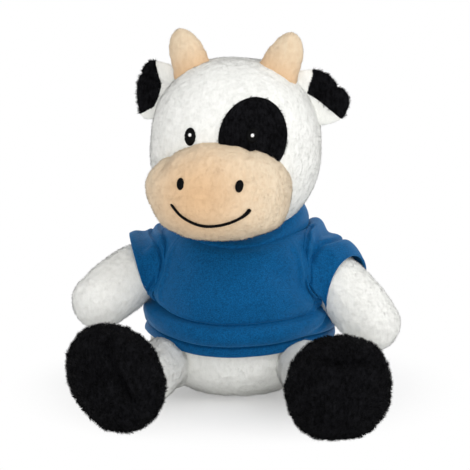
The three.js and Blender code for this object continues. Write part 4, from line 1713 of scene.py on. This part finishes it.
# Folds of the body: each one's line as angle and height, its width and how far it stands out
CREASES = (
    (((-25, 47), (-40, 43), (-56, 41)), 1.6, -1.5),
    (((-25, 45), (-42, 39.5), (-60, 37.5)), 2.0, 0.9),
    (((-16, 41), (-30, 36), (-46, 33)), 1.3, -1.3),
    (((-24, 46), (-36, 52), (-50, 58.5), (-72, 64)), 4.6, -3.0),
    (((-41, 76), (-43, 67), (-42, 57), (-33, 47)), 1.5, 1.1),
    (((-48, 72), (-62, 70), (-76, 68)), 4.5, 0.9),
    (((-32, 49), (-50, 47.5), (-72, 46.5)), 2.2, 0.7),
    (((-149, 53), (-148, 47), (-143, 43.5), (-130, 41.8)), 1.3, -2.6),
    (((-170, 38.5), (-155, 37), (-140, 35.6)), 1.2, -1.2),
    (((-138, 77), (-141, 70), (-138, 62), (-139, 54), (-138, 48), (-126, 45)), 1.5, 1.0),
    (((-138, 70), (-118, 62), (-100, 58)), 3.0, -0.5),
)
# Folds of the sleeves: each one's line as angle and share of the way to the cuff, its width and how far it stands out
SLEEVE_FOLDS = {
    Side.LEFT: (
        (((30, 0.1), (65, 0.13), (95, 0.14), (140, 0.14)), 3.2, 2.6),
        (((15, 0.30), (60, 0.34), (95, 0.34), (140, 0.34)), 2.4, -1.9),
        (((80, 0.1), (40, 0.08), (0, 0.07), (-40, 0.06)), 1.3, -2.4),
        (((150, 0.58), (90, 0.58), (50, 0.46), (20, 0.33), (-10, 0.16)), 0.9, -1.9),
        (((60, 0.75), (95, 0.72), (130, 0.72)), 4.0, 1.4),
    ),
    Side.RIGHT: (
        (((30, 0.12), (65, 0.16), (95, 0.18), (140, 0.18)), 3.0, -0.8),
        (((150, 0.42), (90, 0.42), (50, 0.36), (15, 0.26), (-15, 0.1)), 1.0, -1.7),
        (((110, 0.28), (85, 0.26), (55, 0.22), (25, 0.16)), 1.6, 0.9),
        (((80, 0.1), (40, 0.08), (0, 0.07), (-40, 0.06)), 1.3, -2.6),
        (((60, 0.62), (95, 0.6), (130, 0.6)), 4.5, -2.0),
        (((-10, 0.35), (-30, 0.6)), 1.4, -1.0),
    ),
}
# The radii that turn angles round the body and a sleeve into lengths, and a sleeve's length
GIRTH_RADIUS, SLEEVE_RADIUS, SLEEVE_LENGTH = 46, 15, 24
# The neck seam's height behind, and how much lower it lies under the chin
NECK_HEIGHT, CHIN_DIP = 79.3, 5.2
# How far the pullover sits to the cow's left
SHIFT = 0.6
# How deep the hem is turned up, and the heights of the rings that shape it
HEM_DEPTH, HEM_RINGS = 6.4, (0, 1.6, 3.6, 4.8, 5.2, 6.4)
# The middle and half height of the raglan seam, and how square it is
SEAM_MIDDLE, SEAM_HALF, SEAM_BEND = 62.4, 16.6, 0.62
# How far the seam of a sleeve lies under the body's cloth
SEAM_TUCK = 0.35
# The cuff's radius, how much wider it is above, and how far its middle lies over the arm's
CUFF_RADIUS, CUFF_RISE, CUFF_LIFT = 14.6, 1.2, 1.3


@dataclass(frozen=True)
class Cuff:
    """How a sleeve ends.

    Attributes:
        facing: The direction that the cuff's plane faces.
        distance: How far that plane lies from the arm's root.
        slack: How much closer the cuff lies below.
        loft: How far the sleeve's start rises at the top.
        seam: Half the angle that the raglan seam takes of the body, in degrees.
    """

    facing: tuple[float, float, float]
    distance: float
    slack: float
    loft: float
    seam: float


CUFFS = {
    Side.LEFT: Cuff((0.77, -0.59, -0.235), 19.0, -0.7, 0.25, 38.0),
    Side.RIGHT: Cuff((-0.95, -0.13, -0.28), 8.8, 1.1, -0.2, 38.5),
}


def neck_height(angle: Array) -> Array:
    """The height of the neck seam, which dips under the chin."""
    return NECK_HEIGHT - CHIN_DIP * np.maximum(0, -np.sin(angle)) ** 4


def round_body(radius: Array, angle: Array, height: Array) -> Array:
    """Places round the pullover's axis."""
    return np.stack([radius * np.cos(angle) + SHIFT, radius * np.sin(angle), height], axis=-1)


@dataclass
class PulloverWork(Work):
    """The pullover: body panels, raglan sleeves and neck band.

    Attributes:
        wall: The thickness of the body's cloth.
        sleeve_wall: That of the sleeves.
        collar_wall: That of the folded neck band.
    """

    wall: float = 0.9
    sleeve_wall: float = 1.1
    collar_wall: float = 1.5

    def sew(self, name: str, node: str, cloth: Skin, body: Optional[str]) -> bpy.types.Object:
        """Makes a piece of jersey.

        Args:
            name: What it is a cloth of.
            node: The node that it stands for.
            cloth: Its mesh.
            body: The body it rides on, where it rides on one alone.

        Returns:
            The piece.
        """
        piece = self.add(f"{name}_cloth", cloth, self.wardrobe.jersey, body)
        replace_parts(piece, node)
        return piece

    def pattern(self, angle: Array) -> tuple[Array, Array]:
        """Heights and radii of the body's rings, from the hem up.

        Args:
            angle: Round the body, with the front at minus 90 degrees.

        Returns:
            Heights and radii, each as rings by angles.
        """
        hem, dip, neck = ring_values(*HEM, angle), ring_values(*DIP, angle), neck_height(angle)
        low, level = hem + HEM_DEPTH, NECK_HEIGHT - CHIN_DIP
        heights = [hem + up for up in HEM_RINGS]
        heights += [low + share * (dip - low) for share in (0.38, 0.82)] + [dip, dip + 1.8]
        heights += [z + part * (neck - level) for z, part in ((50.5, 0), (56, 0), (62, 0), (68, 0.45), (72.0, 0.85))]
        return np.stack([*heights, neck]), np.stack([ring_values(KNOTS, row, angle) for row in RADII])

    def folds(self, angle: Array, height: Array) -> Array:
        """The pulled folds that run to the armpits.

        Args:
            angle: Round the body.
            height: Heights.

        Returns:
            How far the cloth stands out.
        """
        turned = (angle + math.pi) % (2 * math.pi) - math.pi
        flat = np.stack([turned.ravel() * GIRTH_RADIUS, height.ravel()], axis=1)
        total = np.zeros(len(flat))
        for line, width, deep in CREASES:
            far, share, _ = to_line(flat, [(math.radians(a) * GIRTH_RADIUS, z) for a, z in line])
            total += deep * bump_at(far, 0, width) * (1 - share**2) * smooth_step(far + share * 12, 0.0, 4.0)
        return total.reshape(angle.shape)

    def shell(self, outer: Array, closed: bool, wall: float) -> Skin:
        """Gives a grid of cloth its thickness, with a rounded free edge at both ends.

        Args:
            outer: Rows by columns by three.
            closed: Whether the last column joins the first.
            wall: The thickness.

        Returns:
            The cloth.
        """
        normals = net(outer, closed).normals().reshape(outer.shape)
        low = outer[:1] - normals[:1] * wall / 2 + unit(outer[:1] - outer[1:2]) * wall * 0.35
        high = outer[-1:] - normals[-1:] * wall / 2 + unit(outer[-1:] - outer[-2:-1]) * wall * 0.35
        rows = np.concatenate([low, outer, high, (outer - normals * wall)[::-1]])
        skin = net(rows, closed, looped=True)
        if closed:
            return skin
        count, columns = outer.shape[:2]
        front = np.arange(count - 1) + 1
        back = 2 * count + 2 - front
        quads, tips = [skin.faces[0]], []
        for column, turn in ((0, 1), (columns - 1, -1)):
            strip = np.stack([front, front + 1, back - 1, back], axis=1)
            strip[0, 3] = back[0] % (2 * count + 2)
            quads.append((strip * columns + column)[:, ::turn])
            corners = np.array([[0, 1, 2 * count + 1], [count, count + 1, count + 2]]) * columns + column
            tips.append(corners[:, ::turn])
        chart = np.concatenate([skin.chart, np.full((2 * 4 * (count - 1) + 12, 2), 0.004)])
        return Skin(skin.points, [np.concatenate(quads), np.concatenate(tips)], chart)

    def build_body(self) -> None:
        """Makes the front and back panels."""
        seam = math.radians(2.5)
        for name, start, end in (("front", -math.pi + seam, seam), ("back", seam, math.pi + seam)):
            angle = np.linspace(start, end, 240)
            heights, radii = self.pattern(angle)
            where = np.linspace(0, len(heights) - 1, 180)
            z, r = spline(heights, where), spline(radii, where)
            across = np.tile(angle, (len(where), 1))
            flat = np.stack([across.ravel() * GIRTH_RADIUS, z.ravel(), 0 * z.ravel()], axis=1)
            r = r + self.folds(across, z) + 0.25 * Grain(7, 71).at(flat).reshape(z.shape)
            cloth = self.shell(round_body(r, across, z), False, self.wall)
            piece = self.sew(f"shirt_{name}", f"shirt_{name}", cloth, "torso")

    def cuff_ring(self, side: Side, angles: Array) -> Array:
        """The cuff's edge.

        Args:
            side: Which sleeve.
            angles: Round the arm.

        Returns:
            The spots.
        """
        own, cuff = ARMS[side].place(side), CUFFS[side]
        facing, axis = unit(np.array(cuff.facing)), own.turn @ UPWARD
        ring = np.stack([np.cos(angles), np.sin(angles), 0 * angles], axis=1) @ own.turn.T
        above, below = np.maximum(0, ring[:, 2:3]), np.maximum(0, -ring[:, 2:3])
        ring = ring * (CUFF_RADIUS + CUFF_RISE * above - cuff.slack * below)
        centre = own.origin + UPWARD * CUFF_LIFT
        along = (cuff.distance - (ring + centre - own.origin) @ facing) / (axis @ facing)
        return centre + ring + axis * np.clip(along, -14, 40)[:, None]

    def seam_ring(self, side: Side, turn: Array) -> tuple[Array, Array]:
        """The raglan seam where a sleeve leaves the body.

        Args:
            side: Which sleeve.
            turn: Round the seam: 0 at the front and a quarter turn at the top.

        Returns:
            The spots, and the direction that the body faces there.
        """
        bent = lambda value: np.sign(value) * np.abs(value) ** SEAM_BEND
        away = math.radians(CUFFS[side].seam) * bent(np.cos(turn))
        angle = -away if side is Side.LEFT else math.pi + away
        z = SEAM_MIDDLE + SEAM_HALF * bent(np.sin(turn))
        heights, radii = self.pattern(angle)
        read = lambda up: np.array([np.interp(z[k] + up, heights[:, k], radii[:, k]) for k in range(len(z))])
        radius, slope = read(0.0), (read(1.5) - read(-1.5)) / 3
        normal = unit(np.stack([np.cos(angle), np.sin(angle), -slope], axis=1))
        return round_body(radius, angle, z) - SEAM_TUCK * normal, normal

    def sleeve_net(self, side: Side, turn: Array, rows: int) -> Array:
        """A smooth sleeve from its seam on the body to its cuff.

        Args:
            side: Which sleeve.
            turn: Round the seam.
            rows: How many rings it has.

        Returns:
            The spots, as rings by places round them.
        """
        seam, normal = self.seam_ring(side, turn)
        own = ARMS[side].place(side)
        flat = (seam - own.origin) @ own.turn
        seam_angle = np.unwrap(np.arctan2(flat[:, 1], flat[:, 0]))
        step = 1 if seam_angle[-1] > seam_angle[0] else -1
        even = seam_angle[0] + step * turn
        cuff = self.cuff_ring(side, 0.55 * seam_angle + 0.45 * even)
        inward = np.array([side.sign * 49.0, -2.0, 61.0]) - seam
        inward = unit(inward - (inward * normal).sum(axis=1, keepdims=True) * normal)
        high = smooth_step(seam[:, 2], 66, 79)[:, None]
        deep = smooth_step(-seam[:, 2], -56, -46)[:, None]
        start = inward * (1 - 0.35 * high - 0.5 * deep) + normal * (0.3 + 0.5 * high + 0.6 * deep)
        start = unit(start + high * np.array([0, 0, CUFFS[side].loft]))
        t = np.linspace(0, 1, rows)[:, None, None]
        span = np.linalg.norm(cuff - seam, axis=1)[None, :, None]
        spots = (2 * t**3 - 3 * t**2 + 1) * seam[None] + (t**3 - 2 * t**2 + t) * start[None] * span
        return spots + (3 * t**2 - 2 * t**3) * cuff[None] + (t**3 - t**2) * (own.turn @ UPWARD) * span * 0.75

    def build_sleeve(self, side: Side) -> None:
        """Makes a raglan sleeve.

        Args:
            side: Which sleeve.
        """
        columns, rows = 160, 64
        turn = np.linspace(0, 2 * math.pi, columns, endpoint=False)
        spots = self.sleeve_net(side, turn, rows)
        normals = net(spots, True).normals().reshape(spots.shape)
        if (normals * (spots - spots.mean(axis=1, keepdims=True))).sum() < 0:
            spots, turn = spots[:, ::-1], turn[::-1]
            normals = net(spots, True).normals().reshape(spots.shape)
        share = np.tile(np.linspace(0, 1, rows)[:, None], (1, columns))
        round_it = np.tile((np.degrees(turn) + 90) % 360 - 90, (rows, 1))
        flat = np.stack([np.radians(round_it.ravel()) * SLEEVE_RADIUS, share.ravel() * SLEEVE_LENGTH], axis=1)
        rise = np.zeros(len(flat))
        for line, width, tall in SLEEVE_FOLDS[side]:
            far, _, _ = to_line(flat, [(math.radians(a) * SLEEVE_RADIUS, s * SLEEVE_LENGTH) for a, s in line])
            rise += tall * bump_at(far, 0, width)
        rise += 0.35 * Grain(6, 61).at(spots.reshape(-1, 3))
        rise = rise.reshape(share.shape) * smooth_step(share, 0.0, 0.04) * (1 - 0.6 * smooth_step(share, 0.9, 1.0))
        cloth = self.shell(spots + normals * rise[:, :, None], True, self.sleeve_wall)
        piece, arm = self.sew(f"sleeve_{side.value}", f"sleeve_{side.value}", cloth, None), f"arm_{side.value}"
        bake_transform(piece)

    def build_collar(self) -> None:
        """Makes the standing neck band, with its lower edge tucked into the neck."""
        columns, rows = 240, 42
        angle = np.tile(np.linspace(0, 2 * math.pi, columns, endpoint=False), (rows, 1))
        share = np.tile(np.linspace(-0.3, 1, rows)[:, None], (1, columns))
        tuck, share = np.minimum(share, 0), np.maximum(share, 0)
        top, low = ring_values(*COLLAR_TOP, angle), neck_height(angle) - 0.3
        back = smooth_step(np.sin(angle), -0.1, 0.9)
        front = np.maximum(0, -np.sin(angle)) ** 2
        radius = 33.3 + 1.3 * np.sin(share * math.pi) + 1.0 * front - (3.0 + 7 * back + 2.0 * front) * share**1.5
        radius = radius - 0.5 * bump_at(share, 0.0, 0.05) + 5 * tuck
        z = low + (top - low) * share + 17 * tuck
        cloth = self.shell(round_body(radius, angle, z), True, self.collar_wall)
        piece = self.sew("collar", "shirt_collar", cloth, "head")

    def build(self) -> dict[str, bpy.types.Object]:
        """Builds the pullover.

        Returns:
            Its pieces by name.
        """
        self.build_body()
        self.build_collar()
        for side in Side:
            self.build_sleeve(side)
        return self.made


# The colour that the camera sees behind the cow, and of the light from all round
WHITE_LIGHT = (1.0, 1.0, 1.0)
# Each lamp's name, place and side in metres, and power in watts
LAMPS = (
    ("key_lamp", (1.0, -0.75, 0.9), 0.6, 4.2),
    ("top_lamp", (0.7, -0.35, 1.2), 0.5, 1.6),
    ("low_lamp", (0.1, -1.3, 0.12), 0.6, 5.6),
    ("front_lamp", (-0.55, -1.3, 0.45), 0.8, 1.7),
)


@dataclass
class Studio:
    """The floor, the lamps, the world and the camera.

    Attributes:
        azimuth: The camera's angle to the cow's left, in degrees.
        elevation: Its angle above level.
        distance: How far it stands from the origin, in metres.
        scale: Pixels to a millimetre at that distance.
        origin: The pixel where the origin lies.
        size: The picture's width in pixels.
        film: The camera's sensor width, in millimetres.
        floor: Half the floor's side, in metres.
        aim: Where the lamps look.
    """

    azimuth: float = 3.5
    elevation: float = 14.0
    distance: float = 1.1
    scale: float = 2.06
    origin: tuple[float, float] = (237.0, 386.0)
    size: int = 470
    film: float = 36.0
    floor: float = 6.0
    aim: tuple[float, float, float] = (0.0, 0.0, 0.08)

    def build_camera(self) -> None:
        """Makes the camera, aimed so that the origin falls on its pixel."""
        a, e = math.radians(self.azimuth), math.radians(self.elevation)
        back = Vector((math.sin(a) * math.cos(e), -math.cos(a) * math.cos(e), math.sin(e)))
        data = bpy.data.cameras.new("photo_camera")
        focal = self.scale * self.distance / MM
        data.sensor_width = self.film
        data.lens = focal / self.size * self.film
        data.clip_start, data.clip_end = 0.05, 20
        camera = put("photo_camera", data)
        camera.location = back * self.distance
        base = (-back).to_track_quat("-Z", "Y").to_matrix()
        across, down = (math.atan((pixel - self.size / 2) / focal) for pixel in self.origin)
        tilt = Matrix.Rotation(down, 3, "X") @ Matrix.Rotation(across, 3, "Y")
        camera.rotation_euler = (base @ tilt).to_euler()
        bpy.context.scene.camera = camera

    def build_floor(self) -> None:
        """Makes the pale floor, which fades to white away from the cow."""
        mesh, far = bpy.data.meshes.new("studio_floor"), self.floor
        mesh.from_pydata([(-far, -far, 0), (far, -far, 0), (far, far, 0), (-far, far, 0)], [], [(0, 1, 2, 3)])
        paper = bpy.data.materials.new("studio_paper")
        paper.use_nodes = True
        wires, nodes = Wiring(paper.node_tree), paper.node_tree.nodes
        shader = nodes["Principled BSDF"]
        matte = {"Base Color": (0.93, 0.93, 0.93), "Roughness": 1.0, "Specular IOR Level": 0.0}
        for label, value in matte.items():
            wires.feed(shader.inputs[label], value)
        glow = wires.node("ShaderNodeEmission", {"Strength": 1.0})
        away = wires.node("ShaderNodeVectorMath", {0: wires.place()}, operation="LENGTH").outputs["Value"]
        seen = wires.node("ShaderNodeLightPath").outputs["Is Camera Ray"]
        share = wires.times(wires.fade(away, 0.03, 0.115, 0.3), seen)
        wires.show(share, shader, glow, nodes["Material Output"])
        mesh.materials.append(paper)
        put("studio_floor", mesh)

    def build_world(self) -> None:
        """Makes the world: white to the camera and a soft pale light on the cow."""
        world = bpy.data.worlds.new("studio_world")
        world.use_nodes = True
        bpy.context.scene.world = world
        wires, nodes = Wiring(world.node_tree), world.node_tree.nodes
        wires.feed(nodes["Background"].inputs["Color"], WHITE_LIGHT)
        wires.feed(nodes["Background"].inputs["Strength"], 0.7)
        plain = wires.node("ShaderNodeBackground", {"Color": WHITE_LIGHT, "Strength": 1.0})
        seen = wires.node("ShaderNodeLightPath").outputs["Is Camera Ray"]
        wires.show(seen, nodes["Background"], plain, nodes["World Output"])

    def build_lamp(self, name: str, spot: tuple[float, float, float], size: float, power: float) -> None:
        """Makes a soft square lamp that faces the cow.

        Args:
            name: Its name.
            spot: Where it stands, in metres.
            size: Its side.
            power: Its power in watts.
        """
        data = bpy.data.lights.new(name, "AREA")
        data.shape, data.size, data.energy = "SQUARE", size, power
        made = put(name, data)
        made.location = spot
        made.rotation_euler = (Vector(self.aim) - Vector(spot)).to_track_quat("-Z", "Y").to_euler()

    def build(self) -> None:
        """Builds the studio."""
        bpy.context.scene.view_settings.view_transform = "Standard"
        self.build_camera()
        self.build_floor()
        self.build_world()
        for lamp in LAMPS:
            self.build_lamp(*lamp)


def main() -> None:
    """Builds the cow and the studio, and reports each piece."""
    logging.basicConfig(level=logging.INFO, format="%(message)s")
    wardrobe = Wardrobe()
    Studio().build()
    for work in (HeadWork(wardrobe), BodyWork(wardrobe), PulloverWork(wardrobe)):
        for name, piece in work.build().items():
            log.info("%s: %d faces", name, len(piece.data.polygons))
    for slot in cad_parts["bead_bag"].material_slots:
        slot.material = wardrobe.pouch.material


if __name__ == "__main__":
    main()
